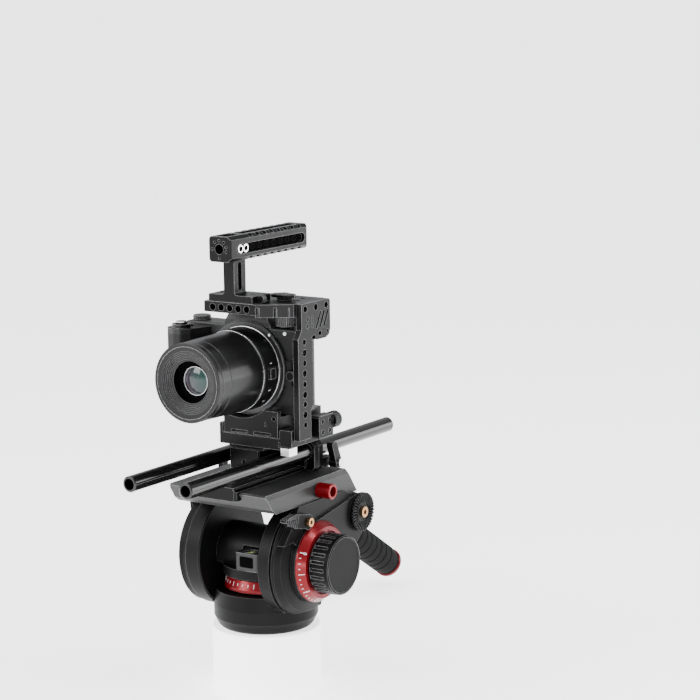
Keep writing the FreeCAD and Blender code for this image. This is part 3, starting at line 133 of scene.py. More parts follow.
# %% [markdown]
# ## The tools every finish shares
# Real surfaces differ at three scales. Grain is under a millimetre and shows as a broken highlight. Handling
# marks are centimetres wide and change the roughness. Edges are pale lines: rubbed wear and a painted
# highlight.
# The Bevel node finds edges: it returns the normal the part would have if its edges were rounded, and where
# that differs from the true normal there is an edge.

# %% Shared finish tools
finishes = {}
WORN_AND_HIGHLIT_MM = 0.7
DARKER, LIGHTER = 0.82, 1.22


def start_finish(name, rough, metal=0.0, coat=0.0, coat_rough=0.1, specular=0.5):
    """A new material with its fixed sockets set; returns the shader and the position on the object."""
    material = bpy.data.materials.new(name)
    material.use_nodes = True
    tree = material.node_tree
    shader = tree.nodes["Principled BSDF"]
    shader.inputs["Roughness"].default_value = rough
    shader.inputs["Metallic"].default_value = metal
    shader.inputs["Coat Weight"].default_value = coat
    shader.inputs["Coat Roughness"].default_value = coat_rough
    shader.inputs["Specular IOR Level"].default_value = specular
    finishes[name] = material
    place = Shade(tree, tree.nodes.new("ShaderNodeTexCoord").outputs["Object"])
    return shader, place


def plug(shader, socket, value):
    """Feeds one socket of the shader with a value that changes over the surface."""
    value.tree.links.new(value.socket, shader.inputs[socket])


def noise(place, size_mm, detail=3.0, roughness=0.55):
    """Soft noise with features about this many millimetres wide."""
    feeds = {"Vector": place, "Scale": 1000.0 / size_mm, "Detail": detail, "Roughness": roughness}
    return place.node("ShaderNodeTexNoise", {}, feeds)


def blend(mask, first, second):
    """Mixes two colours by a mask."""
    return mask.node("ShaderNodeMix", {"data_type": "RGBA"}, {0: mask, 6: first, 7: second}, out=2)


def worn_edges(place, width_mm, amount):
    """1 on an edge, 0 on a flat face, broken up so that the line is not even: rubbed wear and a painted
    highlight.
    """
    rounded = place.node("ShaderNodeBevel", {"samples": 4}, {"Radius": width_mm * MM})
    flat = place.node("ShaderNodeNewGeometry", out="Normal")
    meeting = {0: rounded, 1: flat}
    facing = rounded.node("ShaderNodeVectorMath", {"operation": "DOT_PRODUCT"}, meeting, out="Value")
    broken = noise(place, 6.0) * 1.4 + 0.1
    return (1 - facing) * amount * broken


def bump(shader, height, strength, depth_mm):
    """Feeds the shader's normal with a relief of this many millimetres."""
    feeds = {"Height": height, "Strength": strength, "Distance": depth_mm * MM}
    plug(shader, "Normal", height.node("ShaderNodeBump", {}, feeds))


def grey(level):
    """A grey that leans a very little to blue, as black anodising and powder coat do."""
    return (level, level, level * 1.03, 1.0)


def scaled(tone, factor):
    """The same colour, darker or lighter, and never brighter than white."""
    return tuple(min(1, channel * factor) for channel in tone[:3]) + (1,)


def coated_metal(name, tone, worn_and_highlit_edge_tone, rough, grain_mm, grain_depth, coat=0.0, edge_wear_and_highlight=6.0, metal=0.0,
                 specular=0.5):
    """Powder coat, paint or black anodising: one family that differs in grain, gloss and pale edges (wear and
    painted highlight).
    """
    shader, place = start_finish(name, rough, metal, coat, specular=specular)
    grain = noise(place, grain_mm, 4.0)
    cloud = noise(place, 28.0, 2.0)
    edges = worn_edges(place, WORN_AND_HIGHLIT_MM, edge_wear_and_highlight)
    body = blend(cloud, scaled(tone, DARKER), scaled(tone, LIGHTER))
    # pale edges: partly rubbed wear, partly a painted highlight
    plug(shader, "Base Color", blend(edges, body, worn_and_highlit_edge_tone))
    plug(shader, "Roughness", cloud * 0.14 + grain * 0.1 + (rough - 0.12) - edges * 0.08)
    bump(shader, grain, 0.35, grain_depth)
    print("finish", name)


print("finish tools ready")

# %% [markdown]
# ## Black metal, four ways
# Almost every part is black, so the blacks have to differ or the rig turns into one dark lump. The head's
# castings are powder coated: grainy and soft. The cage and plates are black anodised: smoother, with fine
# bright edges, partly wear and partly a painted highlight. The rails are anodised and polished, so they carry
# one long sharp highlight. The lens is satin with a clear coat.

# %% Black metals
coated_metal("head_black", grey(0.0022), grey(0.10), 0.44, 0.5, 0.05, edge_wear_and_highlight=4.5, specular=0.10)
coated_metal("platform_grey", grey(0.016), grey(0.22), 0.42, 0.35, 0.02, edge_wear_and_highlight=6.0, specular=0.26)
coated_metal("rig_black", grey(0.0022), grey(0.26), 0.31, 0.22, 0.012, edge_wear_and_highlight=5.0, specular=0.11)
coated_metal("dial_black", grey(0.004), grey(0.30), 0.32, 0.25, 0.01, edge_wear_and_highlight=8.0, specular=0.22)
coated_metal("lens_black", grey(0.0030), grey(0.16), 0.30, 0.9, 0.001, coat=0.10, edge_wear_and_highlight=2.5, specular=0.18)
coated_metal("knob_black", grey(0.0020), grey(0.24), 0.38, 0.4, 0.02, edge_wear_and_highlight=5.0, specular=0.06)
coated_metal("mount_silver", grey(0.0035), grey(0.30), 0.30, 0.2, 0.006, edge_wear_and_highlight=7.0, specular=0.4)
# near-black and matt: the lens baffle, and the flat pieces that paint shade on the level's front, in the
# handle's sockets and in its slot
coated_metal("baffle_black", grey(0.0008), grey(0.004), 0.90, 0.5, 0.02, edge_wear_and_highlight=1.0, specular=0.03)

# %% [markdown]
# ## Polished rails
# A drawn tube keeps faint lines along its length. Noise stretched a hundred times along the tube gives
# them; they only touch the roughness, so the highlight breaks into long streaks.

# %% Rails and bar
shader, place = start_finish("rod_black", 0.14, coat=0.12, coat_rough=0.06, specular=0.34)
stretched = place.node("ShaderNodeMapping", {}, {"Vector": place, "Scale": (1.0, 0.01, 1.0)})
streaks = noise(stretched, 0.6, 3.0)
cloud = noise(place, 40.0, 2.0)
plug(shader, "Base Color", blend(cloud, grey(0.0015), grey(0.004)))
plug(shader, "Roughness", streaks * 0.08 + cloud * 0.06 + 0.09)
bump(shader, streaks, 0.12, 0.004)
print("finish rod_black")

# %% [markdown]
# ## Red anodising
# Anodising is a dyed layer of oxide over bright metal: the colour is deep and the highlight takes a little
# of the dye. A part-metal shader with a clear coat gives both. The edges go lighter, partly where the dye is
# thin and partly as a painted highlight. The cap takes a darker copy of the red: painted shade.

# %% Red parts
# pale red for the edges: thin dye and a painted highlight
THIN_DYE_AND_HIGHLIGHT = (0.60, 0.06, 0.08, 1)
# red_cap is the same red made darker for the cap that sits in shadow: painted shade
reds_with_shaded_cap = (("red_anodised", (0.13, 0.0008, 0.0036, 1), 0.32), ("red_cap", (0.07, 0.001, 0.003, 1), 0.42))
for name, tone, rough in reds_with_shaded_cap:
    coated_metal(name, tone, THIN_DYE_AND_HIGHLIGHT, rough, 0.3, 0.006, coat=0.10, edge_wear_and_highlight=4.0, metal=0.45, specular=0.25)

# %% [markdown]
# ## Bare metals
# Screws, the release tab and the shaft are bare. A metal's colour is its reflection, so these use full
# Metallic and differ in tint and roughness. Fine turning marks come from stretched noise. The two screws on
# the cage's side are blackened: a mask made from the place on the rig picks them out, in metres.

# %% Bare metals
CAGE_FACE = 0.0595
SCREWS_FROM, SCREWS_TO = 0.288, 0.309
bare = (("steel", (0.56, 0.56, 0.57, 1), 0.34), ("bronze", (0.42, 0.24, 0.12, 1), 0.30),
        ("bright_screw", (0.86, 0.86, 0.88, 1), 0.18), ("bright_tab", (0.93, 0.93, 0.94, 1), 0.30))
for name, tint, rough in bare:
    shader, place = start_finish(name, rough, metal=1.0)
    marks = noise(place.node("ShaderNodeMapping", {}, {"Vector": place, "Scale": (12.0, 1.0, 1.0)}), 2.0, 4.0)
    cloud = noise(place, 5.0)
    shade = blend(cloud, scaled(tint, 0.86), tint)
    roughness = marks * 0.18 + cloud * 0.1 + (rough - 0.12)
    if name == "bright_screw":
        across = place.node("ShaderNodeSeparateXYZ", {}, {0: place}, out="X")
        upward = place.node("ShaderNodeSeparateXYZ", {}, {0: place}, out="Z")
        blackened = across.above(CAGE_FACE) * upward.above(SCREWS_FROM) * upward.below(SCREWS_TO)
        shade = blend(blackened, shade, grey(0.012))
        roughness = roughness + blackened * 0.25
    plug(shader, "Base Color", shade)
    plug(shader, "Roughness", roughness)
    bump(shader, marks, 0.15, 0.006)
    print("finish", name)

# %% [markdown]
# ## Rubber
# The bar's sleeve and the eyecup are soft rubber: matte, very slightly dusty in patches, with a
# moulded grain that catches no sharp light.

# %% Rubber
RUBBER_TONE = 0.0030
for name in ("grip_rubber", "eyecup_rubber"):
    shader, place = start_finish(name, 0.74, specular=0.10)
    grain = noise(place, 0.5, 5.0, 0.7)
    dust = noise(place, 14.0, 4.0)
    plug(shader, "Base Color", blend(dust * 0.6, grey(RUBBER_TONE), grey(RUBBER_TONE * 2.0)))
    plug(shader, "Roughness", dust * 0.16 + grain * 0.08 + 0.62)
    bump(shader, grain, 0.5, 0.05)
    print("finish", name)

# %% [markdown]
# ## The camera's two skins
# A stills camera is dressed in two materials: a wrap of leather-like rubber round its middle, and painted
# metal above it. They meet at level lines, so the height on the object is the mask, in metres, and the
# wrap covers only the body's front. Its pebbles are a Voronoi pattern pushed through bump, and the hollows
# between them are darker: painted shade. The paint keeps only its fine grain, and its edges are pale lines:
# rubbed wear and a painted highlight.

# %% Camera shell
WRAP_FOOT, WRAP_TOP, WRAP_BACK = 0.2165, 0.2822, -0.0196
shader, place = start_finish("camera_black", 0.5, specular=0.26)
height = place.node("ShaderNodeSeparateXYZ", {}, {0: place}, out="Z")
depth = place.node("ShaderNodeSeparateXYZ", {}, {0: place}, out="Y")
in_wrap = height.below(WRAP_TOP) * height.above(WRAP_FOOT) * depth.below(WRAP_BACK)
pebbles = place.node("ShaderNodeTexVoronoi", {"feature": "SMOOTH_F1"}, {"Vector": place, "Scale": 1150.0})
fine = noise(place, 0.3, 4.0)
cloud = noise(place, 20.0)
# pale edges on the paint: rubbed wear and a painted highlight
edges = worn_edges(place, 0.6, 5.0)
paint = blend(cloud, grey(0.010), grey(0.018))
# darker in the hollows between pebbles: painted shade
wrap = blend(pebbles, grey(0.010), grey(0.002))
plug(shader, "Base Color", blend(edges * (1 - in_wrap), blend(in_wrap, paint, wrap), grey(0.24)))
plug(shader, "Roughness", in_wrap * 0.16 + cloud * 0.1 + 0.34)
bump(shader, in_wrap * (1 - pebbles) * 0.9 + fine * 0.12, 0.55, 0.12)
print("finish camera_black")

# %% [markdown]
# ## Glass
# The front element is dark from outside, because the inside of a lens is black. What is seen is the
# reflection of its thin coating, painted into the colour: green near the middle and magenta towards the rim,
# a painted reflection. Layer Weight gives the angle, which shifts the tint the way a real coating does.

# %% Lens glass and screen glass
shader, place = start_finish("lens_glass", 0.04, coat=0.06, coat_rough=0.02, specular=0.30)
tilt = place.node("ShaderNodeLayerWeight", {}, {"Blend": 0.35}, out="Facing")
patch = noise(place, 16.0, 1.0)
# the coating's green and magenta, set by the viewing angle: a painted reflection
tint = blend(tilt, (0.006, 0.045, 0.030, 1), (0.13, 0.015, 0.055, 1))
plug(shader, "Base Color", blend(patch, tint, (0.012, 0.016, 0.030, 1)))
plug(shader, "Roughness", patch * 0.03 + 0.02)
shader, place = start_finish("screen_glass", 0.1, coat=0.8, coat_rough=0.03)
smears = noise(place.node("ShaderNodeMapping", {}, {"Vector": place, "Scale": (1.0, 1.0, 3.0)}), 22.0, 4.0)
plug(shader, "Base Color", blend(smears, grey(0.006), grey(0.011)))
plug(shader, "Roughness", smears * 0.16 + 0.03)
shader, place = start_finish("battery_black", 0.55)
plug(shader, "Base Color", blend(noise(place, 9.0), grey(0.03), grey(0.05)))
bump(shader, noise(place, 0.4, 4.0), 0.3, 0.02)
print("finish glass, screen, battery")

# %% [markdown]
# ## Dress the parts
# Each part names the finish it takes. Its mesh stays exactly as measured: only the material changes. The
# level's housing is the one exception: it takes the platform's grey, to stand out between the drums.

# %% Put finishes on the parts
for name, part in nodes.items():
    part.data.materials.clear()
    part.data.materials.append(finishes[slot_of[name]])
nodes["level_base"].data.materials[0] = finishes["platform_grey"]
print("dressed", len(nodes), "parts")

# %% [markdown]
# ## Trim too fine for the measured model
# Scale marks, an index dot, the level's bubble, the buttons on the camera's back: each is a real small
# piece. They are cut in mesh code from two simple ideas, a lathe for what is round and a plate with softened
# edges for what is flat.


# %% Lathe and plate
def settle(name, shape, finish, body):
    """Turns a bmesh into an object, gives it a finish and lets it ride on a body."""
    mesh = bpy.data.meshes.new(name)
    bmesh.ops.recalc_face_normals(shape, faces=shape.faces)
    shape.to_mesh(mesh)
    shape.free()
    piece = bpy.data.objects.new(name, mesh)
    bpy.context.scene.collection.objects.link(piece)
    mesh.materials.append(finishes[finish])
    mesh.shade_smooth()
    mesh.set_sharp_from_angle(angle=math.radians(32))
    if body:
        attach(piece, body)
    return piece


AXES = {"Z": Matrix.Identity(3), "X": Matrix(((0, 0, 1), (1, 0, 0), (0, 1, 0))),
        "Y": Matrix(((1, 0, 0), (0, 0, 1), (0, 1, 0)))}


def lathe(name, axis, centre, profile, finish, body, steps=96):
    """Turns a closed outline of (radius, distance along the axis) points, in millimetres."""
    shape = bmesh.new()
    turn = AXES[axis]
    rings = []
    for k in range(steps):
        angle = 2 * math.pi * k / steps
        ring = []
        for radius, along in profile:
            point = turn @ Vector((radius * math.cos(angle), radius * math.sin(angle), along))
            ring.append(shape.verts.new((point + Vector(centre)) * MM))
        rings.append(ring)
    count = len(profile)
    for k in range(steps):
        for i in range(count):
            j = (i + 1) % count
            corners = [rings[k][i], rings[k][j], rings[(k + 1) % steps][j], rings[(k + 1) % steps][i]]
            shape.faces.new(corners)
    bmesh.ops.remove_doubles(shape, verts=shape.verts, dist=1e-7)
    return settle(name, shape, finish, body)


def plate(name, axis, centre, outline, low, high, finish, body, soften=0.4):
    """A flat piece from an outline in millimetres, with softened edges."""
    shape = bmesh.new()
    turn = AXES[axis]
    layers = []
    for along in (low, high):
        layer = []
        for x, y in outline:
            layer.append(shape.verts.new((turn @ Vector((x, y, along)) + Vector(centre)) * MM))
        layers.append(layer)
    count = len(outline)
    shape.faces.new(layers[0])
    shape.faces.new(layers[1])
    for i in range(count):
        j = (i + 1) % count
        shape.faces.new([layers[0][i], layers[0][j], layers[1][j], layers[1][i]])
    bmesh.ops.recalc_face_normals(shape, faces=shape.faces)
    bmesh.ops.bevel(shape, geom=list(shape.edges), offset=soften * MM, segments=3, profile=0.6,
                    affect="EDGES")
    return settle(name, shape, finish, body)


def oval(width, height, radius, steps=6):
    """The outline of a rectangle with round corners, its middle at 0, 0."""
    points = []
    for cx, cy, start in ((1, 1, 0), (-1, 1, 90), (-1, -1, 180), (1, -1, 270)):
        for k in range(steps + 1):
            angle = math.radians(start + 90 * k / steps)
            points.append((cx * (width / 2 - radius) + radius * math.cos(angle),
                           cy * (height / 2 - radius) + radius * math.sin(angle)))
    return points


print("lathe and plate ready")

# %% [markdown]
# ## Marks and trim on the lens
# The lens ends in a bright machined flange. A thin bright ring at the rear of the focus ring is a painted
# highlight line, and a white dot shows where the lens meets its mount. The distance numbers are text pieces,
# each turned to lie on the barrel: its right, its up and its outward direction are the three columns of its
# matrix.

# %% Lens trim
LENS = (0, 0, 251.6)
shader, place = start_finish("white_mark", 0.45)
plug(shader, "Base Color", blend(noise(place, 1.2), grey(0.62), grey(0.78)))
lathe("lens_flange_ring", "Y", LENS, [(38.9, -27.5), (39.4, -27.3), (39.4, -26.3), (38.9, -26.1)],
      "bright_tab", "camera")
# a bright ring at the rear of the focus ring: a painted highlight line
lathe("focus_painted_highlight_ring", "Y", LENS, [(37.9, -49.9), (38.32, -49.7), (38.32, -49.1), (37.9, -48.9)],
      "bright_screw", "focus_ring")
lathe("mount_index_dot", "Y", (27.6, 0, 284.7), [(0, -26.16), (1.15, -26.16), (1.3, -26.02), (0, -26.02)],
      "white_mark", "camera", steps=24)


def printed_number(name, label, size_mm, pose, body):
    """A white number that lies flat at this pose and rides on a body."""
    text = bpy.data.curves.new(name, "FONT")
    text.body = label
    text.size = size_mm * MM
    text.align_x = "CENTER"
    text.align_y = "CENTER"
    text.materials.append(finishes["white_mark"])
    number = bpy.data.objects.new(name, text)
    bpy.context.scene.collection.objects.link(number)
    number.matrix_world = pose
    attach(number, body)


NUMBERS_RADIUS, NUMBERS_DEPTH = 39.02, -38.5
for k, label in enumerate(("1", "2", "3", "5")):
    around = math.radians(14 - 19 * k)
    outward = Vector((math.cos(around), 0, math.sin(around)))
    rightward = Vector((math.sin(around), 0, -math.cos(around)))
    turn = Matrix((rightward, outward.cross(rightward), outward)).transposed().to_4x4()
    spot = Vector(LENS) + outward * NUMBERS_RADIUS + Vector((0, NUMBERS_DEPTH, 0))
    pose = Matrix.Translation(spot * MM) @ turn
    printed_number(f"distance_number_{k}", label, 4.6, pose, "camera")
print("lens trim made")

# %% [markdown]
# ## Scale marks on the red rings
# The drag ring is a cone, so its marks have to lie on a slope. Each tick is a thin bar made flat, then
# tilted onto the slope and turned to its place. The numbers are set out the same way, and so are the ticks
# on the pan ring, which stands upright.

# %% Drag scale
TILT_AXIS = (0, 0, 68)
RING_WIDE = Vector((62.6, 38.5))
RING_NARROW = Vector((69.6, 33.9))
FIRST_MARK = -206


def on_cone(angle, along, lift=0.06):
    """Where and how a mark lies on the drag ring: along is 0 at the wide end and 1 at the narrow end."""
    run = (RING_NARROW - RING_WIDE).normalized()
    spot = RING_WIDE.lerp(RING_NARROW, along) + Vector((-run.y, run.x)) * lift
    outward = Vector((0, math.cos(angle), math.sin(angle)))
    place = Vector((spot.x, 0, 0)) + outward * spot.y + Vector(TILT_AXIS)
    up = Vector((run.x, 0, 0)) + outward * run.y
    side = Vector((0, -math.sin(angle), math.cos(angle)))
    turn = Matrix((side, up, side.cross(up))).transposed()
    return Matrix.Translation(place * MM) @ turn.to_4x4()


def tick_shape(shape, pose, width, height):
    """Adds one thin bar, open underneath, to a shape."""
    corners = ((-width, -height), (width, -height), (width, height), (-width, height))
    top = [shape.verts.new(pose @ (Vector((x, y, 0.04)) * MM / 2)) for x, y in corners]
    low = [shape.verts.new(pose @ (Vector((x, y, -0.3)) * MM / 2)) for x, y in corners]
    shape.faces.new(top)
    for i in range(4):
        shape.faces.new((low[i], low[(i + 1) % 4], top[(i + 1) % 4], top[i]))


ticks = bmesh.new()
for k in range(22):
    along, tall = (0.30, 1.7) if k % 4 else (0.36, 2.9)
    tick_shape(ticks, on_cone(math.radians(FIRST_MARK + 8 * k), along), 0.55, tall)
settle("drag_scale_ticks", ticks, "white_mark", "tilt_head")
for k in range(6):
    pose = on_cone(math.radians(FIRST_MARK + 32 * k), 0.72, 0.08)
    printed_number(f"drag_number_{k}", str(k), 4.4, pose, "tilt_head")

PAN_RING_RADIUS, PAN_RING_Z = 37.98, 44.5
pan_ticks = bmesh.new()
for k in range(40):
    angle = math.radians(9 * k)
    outward = Vector((math.cos(angle), math.sin(angle), 0))
    side = Vector((-outward.y, outward.x, 0))
    centre = outward * PAN_RING_RADIUS + Vector((0, 0, PAN_RING_Z))
    slope = (Vector((0, 0, 8.0)) - outward * 3.2).normalized()
    turn = Matrix((side, slope, side.cross(slope))).transposed()
    tick_shape(pan_ticks, Matrix.Translation(centre * MM) @ turn.to_4x4(), 0.5, 2.4 if k % 4 else 4.4)
settle("pan_scale_ticks", pan_ticks, "white_mark", "pan_ring")
print("drag and pan scales made")

# %% [markdown]
# ## The bubble level
# A level is a round vial of tinted spirit under a slightly domed window, with a bubble and a black circle.
# The vial sits in the housing between the drums, and its rim stands a little proud. On the housing's front a
# flat near-black plate stands in for a dark recess: painted shade.

# %% Bubble level
shader, place = start_finish("level_fluid", 0.06, coat=1.0)
plug(shader, "Base Color", blend(noise(place, 3.0), (0.30, 0.42, 0.02, 1), (0.42, 0.55, 0.05, 1)))
shader, place = start_finish("level_bubble", 0.08, coat=1.0)
plug(shader, "Base Color", blend(noise(place, 2.0), (0.62, 0.72, 0.30, 1), (0.72, 0.80, 0.42, 1)))
seat = (6.5, -31.5, 0)
lathe("level_rim", "Z", seat, [(5.4, 71.2), (6.2, 71.2), (6.2, 76.9), (5.9, 77.3), (5.4, 77.0)],
      "dial_black", "pan_head")
lathe("level_vial", "Z", seat, [(0, 71.3), (5.3, 71.3), (5.3, 75.8), (4.0, 76.2), (2.0, 76.4), (0, 76.45)],
      "level_fluid", "pan_head")
lathe("level_bubble_spot", "Z", (7.1, -31.0, 0), [(0, 76.3), (1.7, 76.3), (1.3, 76.55), (0, 76.62)],
      "level_bubble", "pan_head", steps=32)
lathe("level_circle", "Z", seat, [(2.3, 76.2), (2.3, 76.48), (2.6, 76.44), (2.6, 76.2)],
      "dial_black", "pan_head")
# a flat near-black plate in place of a recess: painted shade
plate("level_front_shade_plate", "Y", (6.5, 0, 68.5), oval(15.5, 10.5, 1.6), -40.12, -39.6,
      "baffle_black", "pan_head", 0.1)
print("level made")

# %% [markdown]
# ## Screws and plugs
# Plates are held by socket screws: a short turned head with a six-sided hole. One function keeps every head
# alike, and they sit in the holes that the model already has. Two dull near-black discs fill the handle's
# round sockets as painted shade, and a stepped cap closes the end of the tilt shaft.


# %% Socket screws
def socket_head(name, axis, centre, outward, radius, tall, finish, body):
    """A screw head whose six-sided hole opens towards outward (+1 or -1) along its axis."""
    shape = bmesh.new()
    turn = AXES[axis]
    steps = 36

    def ring(size, along, corners=None):
        made = []
        for k in range(steps):
            angle = 2 * math.pi * k / steps
            reach = size
            if corners:
                half = math.pi / corners
                reach = size * math.cos(half) / math.cos((angle + half) % (2 * half) - half)
            flat = Vector((reach * math.cos(angle), reach * math.sin(angle), along * outward))
            made.append(shape.verts.new((turn @ flat + Vector(centre)) * MM))
        return made

    rings = [ring(radius, 0), ring(radius, tall - 0.4), ring(radius - 0.4, tall),
             ring(radius * 0.56, tall, 6), ring(radius * 0.5, tall - 0.35, 6),
             ring(radius * 0.5, tall * 0.25, 6)]
    for low, high in zip(rings, rings[1:]):
        for k in range(steps):
            shape.faces.new((low[k], low[(k + 1) % steps], high[(k + 1) % steps], high[k]))
    shape.faces.new(rings[0])
    shape.faces.new(rings[-1])
    return settle(name, shape, finish, body)


socket_head("riser_screw", "Y", (0, -24.0, 162.5), -1, 2.5, 3.4, "steel", "rig")
socket_head("plate_screw", "Z", (0, -58.0, 140.6), 1, 4.6, 6.2, "steel", "rig")
socket_head("foot_screw_left", "Z", (-15, -34, 319.8), 1, 4.6, 2.6, "rig_black", "rig")
socket_head("foot_screw_right", "Z", (15, -34, 320.4), 1, 2.7, 2.2, "rig_black", "rig")
for k, (y, z) in enumerate(((12.4, 189.6), (24.1, 189.6), (12.4, 199.4), (24.1, 199.4))):
    socket_head(f"block_screw_{k}", "X", (53.4, y, z), 1, 2.0, 5.2, "dial_black", "rig")
for k, x in enumerate((-13.0, 13.0)):
    for j, y in enumerate((-68.0, -43.0)):
        socket_head(f"strip_screw_{k}{j}", "Z", (x, y, 148.1), 1, 1.6, 0.9, "dial_black", "rig")
HANDLE_Z = 365.95
# near-black discs in the handle's sockets: painted shade
for k, y in enumerate((-45.6, -37.4)):
    lathe(f"handle_socket_shade_{k}", "X", (0, y, HANDLE_Z), [(0, 11.4), (2.5, 11.4), (2.5, 11.85), (0, 11.85)],
          "baffle_black", "rig", steps=32)
shaft_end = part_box("tilt_shaft")[0].x / MM
cap_face, cap_step, cap_ring = shaft_end - 0.05, shaft_end - 0.5, shaft_end - 0.9
lathe("shaft_cap", "X", TILT_AXIS, [(0, cap_step), (3.4, cap_step), (3.6, cap_ring), (10.8, cap_ring),
      (11.6, cap_step), (11.6, cap_face), (0, cap_face)], "dial_black", "tilt_head")
print("screws made")

# %% [markdown]
# ## The handle's dark channel and the cover plate
# The handle's side slot is milled deep, with a row of holes that lighten the bar. A dull near-black liner
# lies on each side of the web and paints the slot's shade, with a thin rim for every hole. On the cage's
# deck, behind the handle's foot, lies a flat cover plate on a short boss.

# %% Channel and cover plate
HOLE_PITCH = 11.2
slot_floor = [(y, z + HANDLE_Z) for y, z in oval(99.6, 8.9, 4.4)]
# near-black liners on the slot's floor: painted shade
for k, side in enumerate((-1, 1)):
    low, high = sorted((side * 8.95, side * 9.15))
    plate(f"slot_shade_liner_{k}", "X", (0, 2.5, 0), slot_floor, low, high, "baffle_black", "rig", 0.05)
    low, high = sorted((side * 9.1, side * 9.4))
    for j in range(7):
        lathe(f"slot_hole_rim_{k}{j}", "X", (0, -24 + j * HOLE_PITCH, HANDLE_Z),
              [(2.2, low), (2.9, low), (2.8, high), (2.3, high)], "grip_rubber", "rig", steps=24)
lathe("cover_boss", "Z", (33, -8, 0), [(0, 316.05), (7, 316.05), (7, 318.4), (0, 318.4)],
      "dial_black", "rig", steps=48)
plate("cover_plate", "Z", (32, -8, 0), oval(25.0, 15.0, 7.2), 318.3, 321.2, "rig_black", "rig", 0.8)
lathe("cover_disc", "Z", (32, -8, 0), [(0, 321.1), (5.4, 321.1), (5.0, 321.9), (4.2, 321.6), (0, 321.6)],
      "dial_black", "rig", steps=48)
print("channel and cover plate made")

# %% [markdown]
# ## Ribs on the tilt lever
# The finger lever is moulded with slanted ribs so that a thumb finds it. Each rib is a thin plate, a little
# shorter than the last, on the lever's outer face, and it moves with the lever.

# %% Ribs on the tilt lever
LEVER = (0, -21, 111)
for k in range(6):
    foot_y = -34.6 + 3.0 * k
    drop, top = 0.9 * k, 10.6 + 0.1 * k
    rib = [(foot_y, 3.6 - drop), (foot_y + 1.2, 3.0 - drop), (foot_y + 4.2, top), (foot_y + 3.0, top)]
    plate(f"lever_rib_{k}", "X", LEVER, rib, 64.8, 65.7, "knob_black", "tilt_lock", 0.25)
print("lever ribs made")

# %% [markdown]
# ## Trim on the camera
# The top has a shoe for accessories: a recess with two folded rails. The back has the controls a thumb
# uses. The screen is a sheet of glass set into its frame.

# %% Shoe on the camera's top
shoe = [(-8.6, -11.0), (8.6, -11.0), (8.6, 5.0), (-8.6, 5.0)]
for k, side in enumerate((-1, 1)):
    rail = [(side * 9.0, -11.5), (side * 6.4, -11.5), (side * 6.4, 5.5), (side * 9.0, 5.5)]
    plate(f"shoe_rail_{k}", "Z", (0, 0, 0), rail, 310.0, 310.8, "steel", "camera", 0.15)
plate("shoe_floor", "Z", (0, 0, 0), shoe, 309.0, 309.5, "dial_black", "camera", 0.1)
print("shoe made")

# %% Controls on the camera's back
BACK = 6.0
SUNK = BACK - 0.2
plate("screen_pane", "Y", (2.0, 0, 247.0), oval(73.4, 41.4, 1.5), 9.5, 9.9, "screen_glass", "screen", 0.12)
lathe("rear_wheel", "Y", (-57.0, 0, 238.0), [(0, SUNK), (9.0, SUNK), (9.0, BACK + 1.2), (8.4, BACK + 1.7),
      (5.0, BACK + 1.3), (4.6, BACK + 1.9), (0, BACK + 2.1)], "dial_black", "camera")
lathe("rear_stick", "Y", (-50.0, 0, 264.0), [(0, SUNK), (3.4, SUNK), (3.4, BACK + 0.5), (2.0, BACK + 0.8),
      (1.9, BACK + 3.0), (2.3, BACK + 3.5), (0, BACK + 3.8)], "knob_black", "camera", steps=36)
buttons = ((-63.0, 273.0, 2.9), (-50.5, 279.0, 2.6), (-64.0, 257.0, 2.4), (-46.0, 226.5, 2.3),
           (-60.0, 222.5, 2.3))
for k, (x, z, radius) in enumerate(buttons):
    lathe(f"rear_button_{k}", "Y", (x, 0, z), [(0, SUNK), (radius, SUNK), (radius, BACK + 0.7),
          (radius - 0.5, BACK + 1.1), (0, BACK + 1.2)], "dial_black", "camera", steps=36)
plate("thumb_rest", "Y", (-66.0, 0, 266.0), oval(8.0, 24.0, 3.6), SUNK, BACK + 2.2,
      "eyecup_rubber", "camera", 0.9)
print("back controls made")

# %% Covers, lamp and shutter collar
for name, height in (("port_cover_upper", 262.0), ("port_cover_lower", 233.0)):
    plate(name, "X", (0, -7.6, height), oval(17.0, 27.0, 2.0), 56.8, 57.6, "eyecup_rubber", "camera", 0.3)
lathe("focus_lamp", "Y", (41.6, 0, 286.2), [(0, -21.5), (1.6, -21.5), (2.0, -20.8), (0, -20.8)],
      "white_mark", "camera", steps=32)
lathe("shutter_ring", "Z", (-61.0, -42.5, 0), [(4.9, 292.6), (5.45, 292.6), (5.4, 293.35), (4.9, 293.1)],
      "bright_screw", "shutter")
print("camera trim made")

# %% [markdown]
# ## Inside the lens
# In front of the glass the barrel steps inwards and is matt black, so that it throws no light back. A dark
# baffle lines the steps, a thin steel ring holds the glass, and another rims the filter thread. Together they
# make the front element read as deep rather than as a painted disc.

# %% Lens depth
FRONT = -116
lathe("glass_edge_ring", "Y", LENS, [(12.5, FRONT + 14.2), (12.9, FRONT + 13.2), (13.3, FRONT + 13.2),
      (13.5, FRONT + 13.9), (13.0, FRONT + 14.4)], "steel", "camera")
lathe("filter_rim", "Y", LENS, [(33.2, FRONT + 0.05), (34.0, FRONT + 0.02), (34.0, FRONT + 0.5),
      (33.2, FRONT + 0.6)], "steel", "camera")
lathe("lens_baffle", "Y", LENS, [(12.9, FRONT + 14.2), (14.8, FRONT + 12.95), (19.3, FRONT + 12.2),
      (19.3, FRONT + 6.0), (19.1, FRONT + 6.0), (19.1, FRONT + 12.0), (14.7, FRONT + 12.7),
      (12.9, FRONT + 13.9)], "baffle_black", "camera")
print("lens depth made")

# %% [markdown]
# ## Floor and stand
# The bar hangs lower than the head's foot, so the head stands on a pale round block and the floor lies below
# the bar. Neither is part of the rig. The floor glows a little, which keeps it as pale far away as near by.
# The block takes the same glowing finish, so it glows as well.

